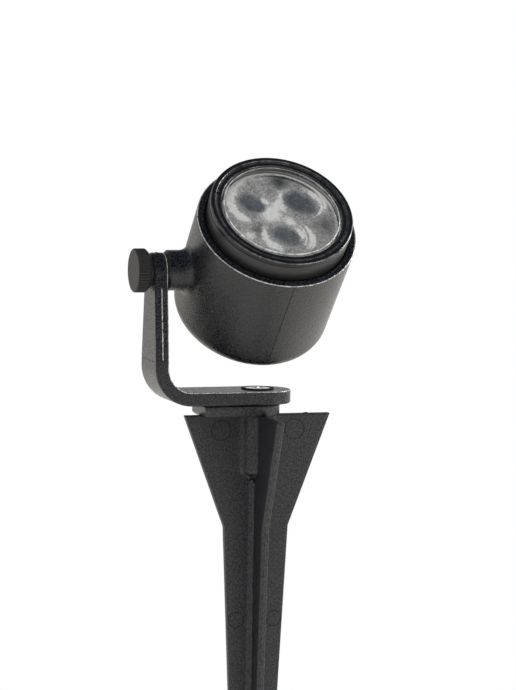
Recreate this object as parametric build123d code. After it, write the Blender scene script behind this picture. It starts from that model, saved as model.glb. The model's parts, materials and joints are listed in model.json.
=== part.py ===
from build123d import *
import math
import os

# Garden spike spotlight: a spike with four fins, an L-shaped bracket that turns on the spike,
# and a lamp head that tilts on the bracket and is locked by a thumb knob. Millimetres.
# +Z is up, -Y is the front, the bracket's arm is on the -X side.
# Origin: on the spike's axis, at the top of its fins, which is where the ground comes to.

# ---------------------------------------------------------------- driving dimensions
# Clearances
FIT_GAP = 0.03  # radial, between round pieces fixed in one another
RUN_GAP = 0.08  # radial, where a pin turns in a bore
FACE_GAP = 0.15  # between flat faces that slide on each other
MODULE_GAP = 0.15  # radial, between the can and the shell's bore

# Ground spike
FIN_SPAN = 28.6  # from the axis to a fin's tip at the top
FIN_THICKNESS = 2.8
FIN_CORNER_R = 0.7
SHOULDER_DEPTH = 42.3  # where the flare ends
SHOULDER_SPAN = 12.6
POINT_DEPTH = 168.0  # where the point starts
POINT_SPAN = 6.6
SPIKE_DEPTH = 195.0
SPIKE_TIP_SPAN = 0.8
CORE_R = 3.2
CORE_FILLET_R = 0.9
BOSS_R = 6.1
BOSS_DEPTH = 21.6
BOSS_FILLET_R = 2.2
BOSS_CONE = 4.6  # height of the cone below the boss
PAD_HEIGHT = 3.85
PAD_HALF_WIDTH = 8.4
PAD_REACH = 22.9  # from the axis towards the arm
PAD_CHAMFER = 0.6
EJECTOR_HIGH = (14.4, 5.8, 3.8)  # distance from the axis, depth, radius of a moulding mark
EJECTOR_LOW = (7.4, 77.7, 2.9)
EJECTOR_DEPTH = 0.12
GATE_X = 19.2  # moulding gate's stub on the right fin's top edge
GATE_LENGTH = 2.6
GATE_HEIGHT = 0.25

# Foot screw, its cup washer, insert and friction washer
SCREW_R = 2.5
SCREW_LENGTH = 22.0  # under the head's face
SCREW_TIP_CHAMFER = 1.0
SCREW_HEAD_R = 4.8
SCREW_HEAD_DEPTH = 2.5
SCREW_RECESS_SPAN = 2.6
SCREW_RECESS_WIDTH = 1.0
SCREW_RECESS_DEPTH = 1.6
CUP_RIM = 1.4  # from the screw's head to the cup's edge
CUP_ROUND = 0.4
CUP_PROUD = 0.5
CUP_WALL = 0.6
SPIKE_INSERT_WALL = 1.4
SPIKE_INSERT_LENGTH = 12.0
INSERT_KEY_DEPTH = 0.4  # of the groove round an insert that keys it in its hole
INSERT_KEY_WIDTH = 2.0
SCREW_HOLE_SPARE = 1.0  # how much deeper the hole below the insert is than the screw
WASHER_GAP = 0.2  # radial, between a washer and the screw or stud in it
FOOT_WASHER_MARGIN = 1.0  # from the pad's edge to the washer's
FOOT_WASHER_THICKNESS = 0.4

# Bracket
PLATE_THICKNESS = 5.1
BRACKET_HALF_WIDTH = 10.05
ARM_REACH = 42.6  # from the spike's axis to the arm's outer face
ARM_TOP_R = 6.6
PIVOT_ABOVE_FOOT = 49.8  # from the foot's underside
TAPER_START = 16.8  # above the foot's underside, where the arm starts to narrow
BEND_OUTER_R = 14.2
FOOT_END_X = 2.5  # centre of the foot's round end
BRACKET_EDGE_R = 0.7
RIDGE_PROUD = 0.2
RIDGE_WIDTH = 0.5
SCORE_WIDTH = 0.3
SCORE_DEPTH = 0.15

# Pivot
STUD_R = 2.5
STUD_CHAMFER = 0.5
KNOB_R = 8.15
KNOB_THICKNESS = 5.4
KNOB_FACE_WALL = 1.8  # between the stud's end and the knob's face
KNOB_FACE_CHAMFER = 0.55
KNOB_SEAT_CHAMFER = 1.3
KNURL_COUNT = 48
KNURL_R = 0.27
KNURL_OUT = 0.07  # how far outside the rim a groove's centre lies
KNOB_WASHER_R = 5.8
KNOB_WASHER_THICKNESS = 0.6
TILT_WASHER_MARGIN = 1.15  # from the trunnion's edge to the washer's
TILT_WASHER_THICKNESS = 0.45
TRUNNION_R = 7.55
TRUNNION_LENGTH = 8.3  # from the shell's wall to the trunnion's end face
TRUNNION_FILLET_R = 3.4
TRUNNION_CHAMFER = 0.8
TRUNNION_INSERT_WALL = 1.5
TRUNNION_INSERT_LENGTH = 7.4
INSERT_SINK = 0.2  # how far the insert's face lies inside its bore
INSERT_BORE_SPARE = 1.6  # room past the insert, in the trunnion's blind bore
HEAD_TILT = 43.7  # degrees from straight up, towards the front

# Head shell. Heights along the head's axis count from the pivot.
SHELL_RIM_R = 30.1
SHELL_BASE_R = 29.6
SHELL_RIM_HEIGHT = 24.0
SHELL_BASE_DEPTH = 24.6
SHELL_BASE_FILLET_R = 7.0
SHELL_INNER_FILLET_R = 4.4
SHELL_WALL = 2.6  # at the base, where it is thinnest
SHELL_FLOOR = 2.6
SHELL_RIM_ROUND = 0.7
SHELL_RIM_CHAMFER = 0.35
RELIEF_GAP = 0.4  # radial, round the can inside the rim
RELIEF_DEPTH = 6.0
PARTING_WIDTH = 0.3
PARTING_DEPTH = 0.2

# Lamp module
CAN_PROUD = 6.5  # from the shell's rim to the joint line below the bezel
CAN_FOOT_FILLET_R = 4.8
CAN_WALL = 5.45  # round the driver board and the cover
CAN_SHOULDER = 2.4  # how far the wall steps in above the driver board
CAN_LIP_WALL = 1.0  # round the bezel's skirt
DECK_TOP = 12.0
DECK_THICKNESS = 4.0
JOINT_CHAMFER = 0.2  # makes the line between can and bezel
BEZEL_HEIGHT = 2.1
BEZEL_EDGE_R = 0.8
BEZEL_FACE = 1.95  # width of the ring's face
BEZEL_CHAMFER = 0.25
BEZEL_SKIRT = 6.0
LEDGE_WIDTH = 2.5
LEDGE_THICKNESS = 1.0
GLASS_GAP = 0.1  # radial, between the glass and the bezel
GLASS_THICKNESS = 2.0
GLASS_CHAMFER = 0.2
GLASS_FACE_R = 21.95  # of the raised face inside the retaining ring
GLASS_FACE_PROUD = 0.15  # above the retaining ring
GLASS_FACE_CHAMFER = 0.4
GASKET_THICKNESS = 0.8
RETAINER_THICKNESS = 0.7
RETAINER_SINK = 0.5  # below the bezel's face
RETAINER_BORE_GAP = 0.7  # radial, the groove round the glass's raised face
RETAINER_CHAMFER = 0.3
NOTCH_ANGLES = (158, 320)
NOTCH_WIDTH = 1.6
NOTCH_DEPTH = 0.4
NOTCH_REACH = 1.0

# Light engine
LED_COUNT = 3
LED_FIRST_ANGLE = 31.0
LED_BASE = 3.45
LED_BASE_HEIGHT = 0.9
LED_DOME_R = 1.35
LED_GAP = 0.25  # from the LED's corners to the lens's hollow
OPTIC_GAP = 0.4  # radial, between the optic and the bezel's bore
OPTIC_PLATE = 1.8
OPTIC_BELOW_GLASS = 0.15
LENS_GAP = 0.2  # between two lenses, where they meet the plate
LENS_MARGIN = 1.95  # from a lens's edge to the optic's
LENS_FOOT_R = 3.9
LENS_BULGE = 1.2
LENS_HOLLOW_DEPTH = 4.0
LENS_ABOVE_BOARD = 0.6
POST_R = 1.2
POST_INSET = 2.4  # from the optic's edge to a post's middle
POST_TURN = 30.0  # degrees from a lens to the post beside it
LED_BOARD_GAP = 4.1  # radial, between the board and the bezel's skirt
BOARD_THICKNESS = 1.6
THERMAL_PAD_THICKNESS = 0.4
THERMAL_PAD_MARGIN = 0.8  # from the LED board's edge to the pad's
BOARD_SCREW_R = 1.25
BOARD_SCREW_HEAD_R = 2.2
BOARD_SCREW_HEAD = 1.5
BOARD_SCREW_LENGTH = 5.0
BOARD_SCREW_INSET = 2.8  # from the board's edge to a screw's middle
BOARD_HOLE_GAP = 0.1
SCREW_END_SPARE = 0.5  # how much deeper a blind screw hole is than its screw

# Driver. An inset counts from the wall round the piece to its middle.
DRIVER_TOP = -4.4
LEAD_R = 0.65
LEAD_SPACING = 6.0
LEAD_INSET = 3.0
LEAD_GAP = 0.45
CAPACITOR_ANGLE = 138.0
CAPACITOR_INSET = 7.0
CAPACITOR_R = 4.0
CAPACITOR_HEIGHT = 10.0
CAPACITOR_CHAMFER = 0.5
COIL_ANGLE = 34.0
COIL_INSET = 8.2
COIL_R = 5.0
COIL_BORE_R = 1.5
COIL_HEIGHT = 5.5
BRIDGE_ANGLE = 323.0
BRIDGE_INSET = 9.0
BRIDGE_SIZE = (7.0, 5.0, 3.0)
CHIP_ANGLE = 215.0
CHIP_INSET = 10.4
CHIP_SIZE = (5.0, 4.0, 1.5)
TERMINAL_INSET = 9.3
TERMINAL_SIZE = (10.0, 7.0, 6.5)
TERMINAL_HOLE_R = 1.3
TERMINAL_HOLE_DEPTH = 4.5

# Back of the module
COVER_THICKNESS = 2.5
MODULE_SCREW_INSET = 6.4  # from the driver room's wall to a screw's middle
MODULE_SCREW_R = 1.5
MODULE_SCREW_HEAD_R = 2.8
MODULE_SCREW_HEAD = 2.0
MODULE_SCREW_GAP = 0.1
SLOT_WIDTH = 0.8
SLOT_SHARE = 0.5  # of a screw head's height
HEAD_ROUND_SHARE = 0.4
O_RING_R = 0.72
O_RING_HEIGHT = 4.0
O_RING_GROOVE_WIDTH = 1.9
O_RING_GAP = 0.05

# Cable gland
CABLE_R = 2.5
BARREL_GAP = 0.3  # radial, round the cable inside the barrel
GLAND_THREAD_R = 4.0
GLAND_HEX = 11.0
GLAND_FLANGE = 3.5
GLAND_WASHER_R = 5.3
GLAND_WASHER_THICKNESS = 1.0
GLAND_NECK = 3.6
LOCKNUT_THICKNESS = 2.4
BARREL_PAST_NUT = 0.5
SEAL_WALL = 0.75
SEAL_LENGTH = 4.0
SEAL_POCKET = 3.0
SEAL_BORE_GAP = 0.1
SEAL_END_GAP = 0.1  # between the seal and the cap's shoulder
CAP_WALL = 1.3
CAP_FLANGE_GAP = 0.4
CAP_SHOULDER_THICKNESS = 3.3
CAP_NOSE_CHAMFER = (1.6, 2.4)  # radial, along the axis
CAP_MOUTH_GAP = 0.5
CAP_RIBS = 12
CAP_RIB_R = 0.6
CAP_RIB_OUT = 0.3  # how far outside the cap a rib's groove has its centre

# ---------------------------------------------------------------- places worked out from them
FOOT_BOTTOM = PAD_HEIGHT + FOOT_WASHER_THICKNESS + FACE_GAP
FOOT_TOP = FOOT_BOTTOM + PLATE_THICKNESS
PIVOT_Z = FOOT_BOTTOM + PIVOT_ABOVE_FOOT
TAPER_Z = FOOT_BOTTOM + TAPER_START
SCREW_FACE = FOOT_TOP + CUP_PROUD
SCREW_NECK = SCREW_FACE - SCREW_HEAD_DEPTH
SCREW_TIP = SCREW_FACE - SCREW_LENGTH
CUP_R = SCREW_HEAD_R + CUP_RIM
SPIKE_INSERT_R = SCREW_R + SPIKE_INSERT_WALL
SPIKE_INSERT_BOTTOM = PAD_HEIGHT - SPIKE_INSERT_LENGTH
ARM_INNER_X = PLATE_THICKNESS - ARM_REACH
ARM_MIDDLE_X = ARM_INNER_X - PLATE_THICKNESS / 2
TRUNNION_REACH = SHELL_BASE_R + TRUNNION_LENGTH
TRUNNION_END_X = ARM_INNER_X + FACE_GAP + TILT_WASHER_THICKNESS
TRUNNION_INSERT_R = STUD_R + TRUNNION_INSERT_WALL
HEAD_X = TRUNNION_END_X + TRUNNION_REACH
WASHER_X = -ARM_REACH - FACE_GAP
KNOB_X = WASHER_X - KNOB_WASHER_THICKNESS - FACE_GAP
STUD_IN_KNOB = KNOB_THICKNESS - KNOB_FACE_WALL
SHELL_SEAT_R = SHELL_BASE_R - SHELL_WALL
CAN_R = SHELL_SEAT_R - MODULE_GAP
SHELL_RELIEF_R = CAN_R + RELIEF_GAP
CAN_TOP = SHELL_RIM_HEIGHT + CAN_PROUD
CAN_CAVITY_R = CAN_R - CAN_WALL
CAN_SHOULDER_R = CAN_CAVITY_R - CAN_SHOULDER
CAN_LIP_R = CAN_R - CAN_LIP_WALL
DECK_BOTTOM = DECK_TOP - DECK_THICKNESS
FLOOR_TOP = SHELL_FLOOR - SHELL_BASE_DEPTH
COVER_TOP = FLOOR_TOP + COVER_THICKNESS
MODULE_SCREW_LENGTH = SHELL_FLOOR + COVER_THICKNESS - SCREW_END_SPARE
O_RING_TRACK_R = SHELL_SEAT_R - O_RING_GAP - O_RING_R
BEZEL_TOP = CAN_TOP + BEZEL_HEIGHT
BEZEL_INNER_R = CAN_R - BEZEL_FACE
BEZEL_BORE_R = BEZEL_INNER_R - LEDGE_WIDTH
GLASS_R = BEZEL_INNER_R - GLASS_GAP
OPTIC_R = BEZEL_BORE_R - OPTIC_GAP
RETAINER_TOP = BEZEL_TOP - RETAINER_SINK
GLASS_TOP = RETAINER_TOP - RETAINER_THICKNESS
GLASS_BOTTOM = GLASS_TOP - GLASS_THICKNESS
LEDGE_TOP = GLASS_BOTTOM - GASKET_THICKNESS
OPTIC_TOP = GLASS_BOTTOM - OPTIC_BELOW_GLASS
PLATE_LOW = OPTIC_TOP - OPTIC_PLATE
BOARD_BOTTOM = DECK_TOP + THERMAL_PAD_THICKNESS
BOARD_TOP = BOARD_BOTTOM + BOARD_THICKNESS
LENS_LOW = BOARD_TOP + LENS_ABOVE_BOARD
LENS_SPREAD = math.sin(math.pi / LED_COUNT)
LED_RING_R = (OPTIC_R - LENS_MARGIN + LENS_GAP / 2) / (1 + LENS_SPREAD)
LENS_TOP_R = LED_RING_R * LENS_SPREAD - LENS_GAP / 2
POST_RING_R = OPTIC_R - POST_INSET
LED_BOARD_R = BEZEL_INNER_R - LED_BOARD_GAP
BOARD_SCREW_RING_R = LED_BOARD_R - BOARD_SCREW_INSET
LENS_HOLLOW_R = LED_BASE * math.sqrt(0.5) + LED_GAP
DRIVER_BOTTOM = DRIVER_TOP - BOARD_THICKNESS
DRIVER_BOARD_R = CAN_CAVITY_R - 2 * FIT_GAP
LEAD_Y = LEAD_INSET - CAN_SHOULDER_R
MODULE_SCREW_X = CAN_CAVITY_R - MODULE_SCREW_INSET
GLAND_FACE = -SHELL_BASE_DEPTH - GLAND_WASHER_THICKNESS
GLAND_NECK_TOP = GLAND_FACE - GLAND_FLANGE
GLAND_NECK_END = GLAND_NECK_TOP - GLAND_NECK
LOCKNUT_TOP = COVER_TOP + LOCKNUT_THICKNESS
SEAL_BORE_R = CABLE_R + SEAL_BORE_GAP
SEAL_R = SEAL_BORE_R + SEAL_WALL
SEAL_TOP = GLAND_NECK_END + SEAL_POCKET
SEAL_END = SEAL_TOP - SEAL_LENGTH
CAP_R = GLAND_THREAD_R + CAP_WALL
CAP_TOP = GLAND_NECK_TOP - CAP_FLANGE_GAP
CAP_SHOULDER = SEAL_END - SEAL_END_GAP
CAP_END = CAP_SHOULDER - CAP_SHOULDER_THICKNESS
LED_ANGLES = [LED_FIRST_ANGLE + 360 / LED_COUNT * i for i in range(LED_COUNT)]
FREE_ANGLES = [angle + 180 / LED_COUNT for angle in LED_ANGLES]
LEAD_XS = (-LEAD_SPACING / 2, LEAD_SPACING / 2)
MODULE_SCREW_XS = (-MODULE_SCREW_X, MODULE_SCREW_X)

HEAD_PLACE = Location((HEAD_X, 0, PIVOT_Z), (HEAD_TILT, 0, 0))


# ---------------------------------------------------------------- helpers
def ring(outer_r, inner_r, low, high):
    """A flat ring about Z between two heights; an inner radius of 0 gives a disc."""
    section = Circle(outer_r)
    if inner_r > 0:
        section = section - Circle(inner_r)
    return Pos(0, 0, low) * extrude(section, high - low)


def turned(*points):
    """A solid of revolution about Z from (radius, height) corners."""
    outline = make_face(Polyline(*points, close=True))
    return revolve(Plane.XZ * outline, Axis.Z)


def along_pivot(x):
    """A plane square to the pivot at x, whose normal points out of the arm, to -X."""
    return Plane(origin=(x, 0, PIVOT_Z), x_dir=(0, 1, 0), z_dir=(-1, 0, 0))


def polar(radius, angle, height=0.0):
    """A place at a radius and an angle about the head's axis."""
    turn = math.radians(angle)
    return Pos(radius * math.cos(turn), radius * math.sin(turn), height)


def block(size):
    """A box that stands on height 0, with its middle on the axis."""
    return Pos(0, 0, size[2] / 2) * Box(*size)


def pan_screw(shank_r, length, head_r, head_height):
    """A slotted pan-head screw: the head's underside at height 0, the shank below it."""
    head = ring(head_r, 0, 0, head_height)
    head = fillet(head.faces().sort_by(Axis.Z)[-1].edges(), head_height * HEAD_ROUND_SHARE)
    slot = Box(2 * head_r + 1, SLOT_WIDTH, 2 * head_height * SLOT_SHARE)
    return head - Pos(0, 0, head_height) * slot + ring(shank_r, 0, -length, 0)


# ---------------------------------------------------------------- ground spike
def fin_envelope():
    """The outline of two opposite fins, seen from the front, as a thick slab."""
    right = [
        (0, 0),
        (FIN_SPAN, 0),
        (SHOULDER_SPAN, -SHOULDER_DEPTH),
        (POINT_SPAN, -POINT_DEPTH),
        (SPIKE_TIP_SPAN, -SPIKE_DEPTH),
    ]
    left = [(-x, z) for x, z in reversed(right[1:])]
    outline = make_face(Polyline(*right, *left, close=True))
    corners = outline.vertices().group_by(Axis.Y)[-1]
    outline = fillet([v for v in corners if abs(v.X) > 1], FIN_CORNER_R)
    return extrude(Plane.XZ * outline, FIN_SPAN + 1, both=True)


def cross_section(round_r, fillet_r):
    """Four fins and a round middle, in plan, with their inside corners filled."""
    plan = Circle(round_r)
    plan += Rectangle(2 * FIN_SPAN, FIN_THICKNESS)
    plan += Rectangle(FIN_THICKNESS, 2 * FIN_SPAN)
    inner = [v for v in plan.vertices() if math.hypot(v.X, v.Y) < round_r + 0.1]
    return fillet(inner, fillet_r)


def spike():
    """The moulded spike: fins, boss, core and the pad that the bracket's foot turns on."""
    body = extrude(cross_section(CORE_R, CORE_FILLET_R), -SPIKE_DEPTH)
    body += extrude(cross_section(BOSS_R, BOSS_FILLET_R), -BOSS_DEPTH)
    envelope = fin_envelope()
    body = body & envelope
    body = body & (Rot(0, 0, 90) * envelope)
    body += turned(
        (0, -BOSS_DEPTH),
        (BOSS_R, -BOSS_DEPTH),
        (CORE_R, -BOSS_DEPTH - BOSS_CONE),
        (0, -BOSS_DEPTH - BOSS_CONE),
    )
    plan = Circle(PAD_HALF_WIDTH) + Pos(-PAD_REACH / 2, 0) * Rectangle(PAD_REACH, 2 * PAD_HALF_WIDTH)
    pad = extrude(plan, PAD_HEIGHT)
    pad = chamfer(pad.faces().sort_by(Axis.Z)[0].edges(), PAD_CHAMFER)
    body += pad
    body += Pos(GATE_X, 0, 0) * Box(GATE_LENGTH, FIN_THICKNESS / 2, 2 * GATE_HEIGHT)
    for distance, depth, radius in (EJECTOR_HIGH, EJECTOR_LOW):
        for side in (-distance, distance):
            mark = Pos(side, -FIN_THICKNESS / 2, -depth) * Rot(90, 0, 0)
            mark = mark * Cylinder(radius, 2 * EJECTOR_DEPTH)
            for turn in (0, 90, 180, 270):
                body -= Rot(0, 0, turn) * mark
    body -= ring(SPIKE_INSERT_R + FIT_GAP, 0, SPIKE_INSERT_BOTTOM, PAD_HEIGHT)
    screw_hole = ring(SCREW_R + WASHER_GAP, 0, SCREW_TIP - SCREW_HOLE_SPARE, PAD_HEIGHT)
    return body - screw_hole


def keyed_bush(outer_r, bore_r, length):
    """A bush from height 0 up, with a groove round its middle that keys it in its hole."""
    low = (length - INSERT_KEY_WIDTH) / 2
    bush = ring(outer_r, bore_r, 0, length)
    return bush - ring(outer_r + 1, outer_r - INSERT_KEY_DEPTH, low, low + INSERT_KEY_WIDTH)


def spike_insert():
    """Threaded brass bush in the boss, which the foot screw goes into."""
    bush = keyed_bush(SPIKE_INSERT_R, SCREW_R + FIT_GAP, SPIKE_INSERT_LENGTH)
    return Pos(0, 0, SPIKE_INSERT_BOTTOM) * bush


def foot_washer():
    """Fibre washer between the pad and the foot."""
    outer_r = PAD_HALF_WIDTH - FOOT_WASHER_MARGIN
    return ring(outer_r, SCREW_R + WASHER_GAP, PAD_HEIGHT, PAD_HEIGHT + FOOT_WASHER_THICKNESS)


def cone_radius(depth):
    """The screw head's radius at a depth under its face."""
    return SCREW_HEAD_R - (SCREW_HEAD_R - SCREW_R) * depth / SCREW_HEAD_DEPTH


def cup_washer():
    """Dished washer: its cone holds the screw's head, its rim stands on the foot."""
    slack = 2 * FIT_GAP
    rim_low = FOOT_TOP + FACE_GAP
    rim_round = min(CUP_ROUND, (SCREW_FACE - rim_low) / 2)
    return turned(
        (SCREW_HEAD_R + slack, SCREW_FACE),
        (CUP_R - rim_round, SCREW_FACE),
        (CUP_R, SCREW_FACE - rim_round),
        (CUP_R, rim_low),
        (cone_radius(SCREW_FACE - rim_low) + CUP_WALL, rim_low),
        (SCREW_R + CUP_WALL, SCREW_NECK),
        (SCREW_R + slack, SCREW_NECK),
    )


def foot_screw():
    """Countersunk screw with a cross recess, the pin that the bracket turns on."""
    screw = turned(
        (0, SCREW_FACE),
        (SCREW_HEAD_R, SCREW_FACE),
        (SCREW_R, SCREW_NECK),
        (SCREW_R, SCREW_TIP + SCREW_TIP_CHAMFER),
        (SCREW_R - SCREW_TIP_CHAMFER, SCREW_TIP),
        (0, SCREW_TIP),
    )
    slot = Box(2 * SCREW_RECESS_SPAN, SCREW_RECESS_WIDTH, 2 * SCREW_RECESS_DEPTH)
    for turn in (45, 135):
        screw -= Pos(0, 0, SCREW_FACE) * Rot(0, 0, turn) * slot
    return screw


# ---------------------------------------------------------------- bracket
def bracket_side():
    """The L of the bracket seen from the front, extruded over its full width."""
    outer_x = -ARM_REACH
    bend_x = outer_x + BEND_OUTER_R
    bend_z = FOOT_BOTTOM + BEND_OUTER_R
    inner_r = BEND_OUTER_R - PLATE_THICKNESS
    mid = math.sqrt(0.5)
    end_x = FOOT_END_X + BRACKET_HALF_WIDTH
    top_z = PIVOT_Z + ARM_TOP_R
    outer_mid = (bend_x - BEND_OUTER_R * mid, bend_z - BEND_OUTER_R * mid)
    inner_mid = (bend_x - inner_r * mid, bend_z - inner_r * mid)
    edges = [
        Line((outer_x, top_z), (outer_x, bend_z)),
        ThreePointArc((outer_x, bend_z), outer_mid, (bend_x, FOOT_BOTTOM)),
        Line((bend_x, FOOT_BOTTOM), (end_x, FOOT_BOTTOM)),
        Line((end_x, FOOT_BOTTOM), (end_x, FOOT_TOP)),
        Line((end_x, FOOT_TOP), (bend_x, FOOT_TOP)),
        ThreePointArc((bend_x, FOOT_TOP), inner_mid, (ARM_INNER_X, bend_z)),
        Line((ARM_INNER_X, bend_z), (ARM_INNER_X, top_z)),
        Line((ARM_INNER_X, top_z), (outer_x, top_z)),
    ]
    return extrude(Plane.XZ * make_face(Wire(edges)), BRACKET_HALF_WIDTH, both=True)


def arm_outline(grow=0.0):
    """The arm seen along the pivot: a round top, and sides that widen to the foot's width."""
    half = BRACKET_HALF_WIDTH + grow
    top_r = ARM_TOP_R + grow
    drop = TAPER_Z - PIVOT_Z
    touch_angle = math.atan2(drop, half) + math.acos(top_r / math.hypot(half, drop))
    touch_y = top_r * math.cos(touch_angle)
    touch_z = PIVOT_Z + top_r * math.sin(touch_angle)
    low = FOOT_BOTTOM - 1
    edges = [
        Line((-half, low), (half, low)),
        Line((half, low), (half, TAPER_Z)),
        Line((half, TAPER_Z), (touch_y, touch_z)),
        ThreePointArc((touch_y, touch_z), (0, PIVOT_Z + top_r), (-touch_y, touch_z)),
        Line((-touch_y, touch_z), (-half, TAPER_Z)),
        Line((-half, TAPER_Z), (-half, low)),
    ]
    return Plane.YZ * make_face(Wire(edges))


def arm_ridge():
    """The casting's ridge along the middle of the arm's edges, where it tapers."""
    ridge = extrude(arm_outline(RIDGE_PROUD), RIDGE_WIDTH / 2, both=True)
    ridge -= Pos(0, 0, TAPER_Z - PIVOT_Z) * Box(PLATE_THICKNESS, 2 * PIVOT_Z, 2 * PIVOT_Z)
    return Pos(ARM_MIDDLE_X, 0, 0) * ridge


def score_line():
    """The thin line cut round the arm where the taper starts."""
    core_x = PLATE_THICKNESS - 2 * SCORE_DEPTH
    core_y = 2 * BRACKET_HALF_WIDTH - 2 * SCORE_DEPTH
    core = RectangleRounded(core_x, core_y, BRACKET_EDGE_R - SCORE_DEPTH)
    section = Rectangle(core_x + 2, core_y + 2) - core
    return Pos(ARM_MIDDLE_X, 0, TAPER_Z) * extrude(section, SCORE_WIDTH / 2, both=True)


def countersink():
    """The hole that clears the cup washer's cone."""
    gap = CUP_WALL + 2 * FACE_GAP
    top_r = cone_radius(CUP_PROUD) + gap
    low = SCREW_NECK - FACE_GAP
    return turned(
        (0, FOOT_TOP + 1),
        (top_r, FOOT_TOP + 1),
        (top_r, FOOT_TOP),
        (SCREW_R + gap, SCREW_NECK),
        (SCREW_R + gap, low),
        (0, low),
    )


def bracket():
    """The cast bracket: foot, bend and tapered arm, with the screw's and stud's holes."""
    body = bracket_side() & extrude(arm_outline(), 2 * ARM_REACH, both=True)
    reach = ARM_REACH + FOOT_END_X
    plan = Circle(BRACKET_HALF_WIDTH) + Pos(-reach / 2, 0) * Rectangle(reach, 2 * BRACKET_HALF_WIDTH)
    body = body & (Pos(FOOT_END_X, 0, 0) * extrude(plan, 2 * PIVOT_Z))
    across = [e for e in body.edges() if abs(e.length - PLATE_THICKNESS) > 0.01]
    body = fillet(across, BRACKET_EDGE_R)
    body += arm_ridge()
    body -= score_line()
    body -= countersink()
    body -= ring(SCREW_R + RUN_GAP, 0, FOOT_BOTTOM - 1, FOOT_TOP)
    body -= along_pivot(ARM_INNER_X + 1) * ring(STUD_R + RUN_GAP, 0, 0, PLATE_THICKNESS + 2)
    return body


# ---------------------------------------------------------------- knob
def knob():
    """Thumb knob: a knurled rim, a flat face, and a blind bore that holds the stud."""
    body = turned(
        (0, 0),
        (KNOB_R - KNOB_SEAT_CHAMFER, 0),
        (KNOB_R, KNOB_SEAT_CHAMFER),
        (KNOB_R, KNOB_THICKNESS - KNOB_FACE_CHAMFER),
        (KNOB_R - KNOB_FACE_CHAMFER, KNOB_THICKNESS),
        (0, KNOB_THICKNESS),
    )
    groove = Pos(0, 0, KNOB_THICKNESS / 2) * Cylinder(KNURL_R, 2 * KNOB_THICKNESS)
    body -= PolarLocations(KNOB_R + KNURL_OUT, KNURL_COUNT) * groove
    body -= ring(STUD_R + FIT_GAP, 0, 0, STUD_IN_KNOB)
    return along_pivot(KNOB_X) * body


def knob_stud():
    """Threaded stud from inside the knob to inside the trunnion's insert."""
    tip_x = TRUNNION_END_X + INSERT_SINK + TRUNNION_INSERT_LENGTH
    length = tip_x - KNOB_X
    stud = ring(STUD_R, 0, -length, STUD_IN_KNOB)
    stud = chamfer(stud.faces().sort_by(Axis.Z)[0].edges(), STUD_CHAMFER)
    return along_pivot(KNOB_X) * stud


def knob_washer():
    """Flat washer between the knob and the arm."""
    washer = ring(KNOB_WASHER_R, STUD_R + RUN_GAP, 0, KNOB_WASHER_THICKNESS)
    return along_pivot(WASHER_X) * washer


# ---------------------------------------------------------------- head shell and trunnion
def shell_wall_radius(height):
    """The shell's outer radius at a height, on its slight taper."""
    share = (height + SHELL_BASE_DEPTH) / (SHELL_RIM_HEIGHT + SHELL_BASE_DEPTH)
    return SHELL_BASE_R + share * (SHELL_RIM_R - SHELL_BASE_R)


def shell_cavity():
    """The room that the lamp module goes into, open at the rim."""
    step = SHELL_RIM_HEIGHT - RELIEF_DEPTH
    outline = make_face(
        Polyline(
            (0, FLOOR_TOP),
            (SHELL_SEAT_R, FLOOR_TOP),
            (SHELL_SEAT_R, step),
            (SHELL_RELIEF_R, step + RELIEF_GAP),
            (SHELL_RELIEF_R, SHELL_RIM_HEIGHT - SHELL_RIM_CHAMFER),
            (SHELL_RELIEF_R + 2 * SHELL_RIM_CHAMFER, SHELL_RIM_HEIGHT + SHELL_RIM_CHAMFER),
            (0, SHELL_RIM_HEIGHT + SHELL_RIM_CHAMFER),
            close=True,
        )
    )
    corner = [v for v in outline.vertices() if v.X > 1 and v.Y < FLOOR_TOP + 0.1]
    outline = fillet(corner, SHELL_INNER_FILLET_R)
    return revolve(Plane.XZ * outline, Axis.Z)


def parting_line():
    """A thin slab less the shell's core: the groove where the casting's halves met."""
    low = SHELL_BASE_FILLET_R - SHELL_BASE_DEPTH
    high = SHELL_RIM_HEIGHT + 1
    slab = Pos(0, 0, (low + high) / 2) * Box(PARTING_WIDTH, 2.5 * SHELL_RIM_R, high - low)
    core = turned(
        (0, low - 1),
        (shell_wall_radius(low - 1) - PARTING_DEPTH, low - 1),
        (shell_wall_radius(high + 1) - PARTING_DEPTH, high + 1),
        (0, high + 1),
    )
    return slab - core


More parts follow.
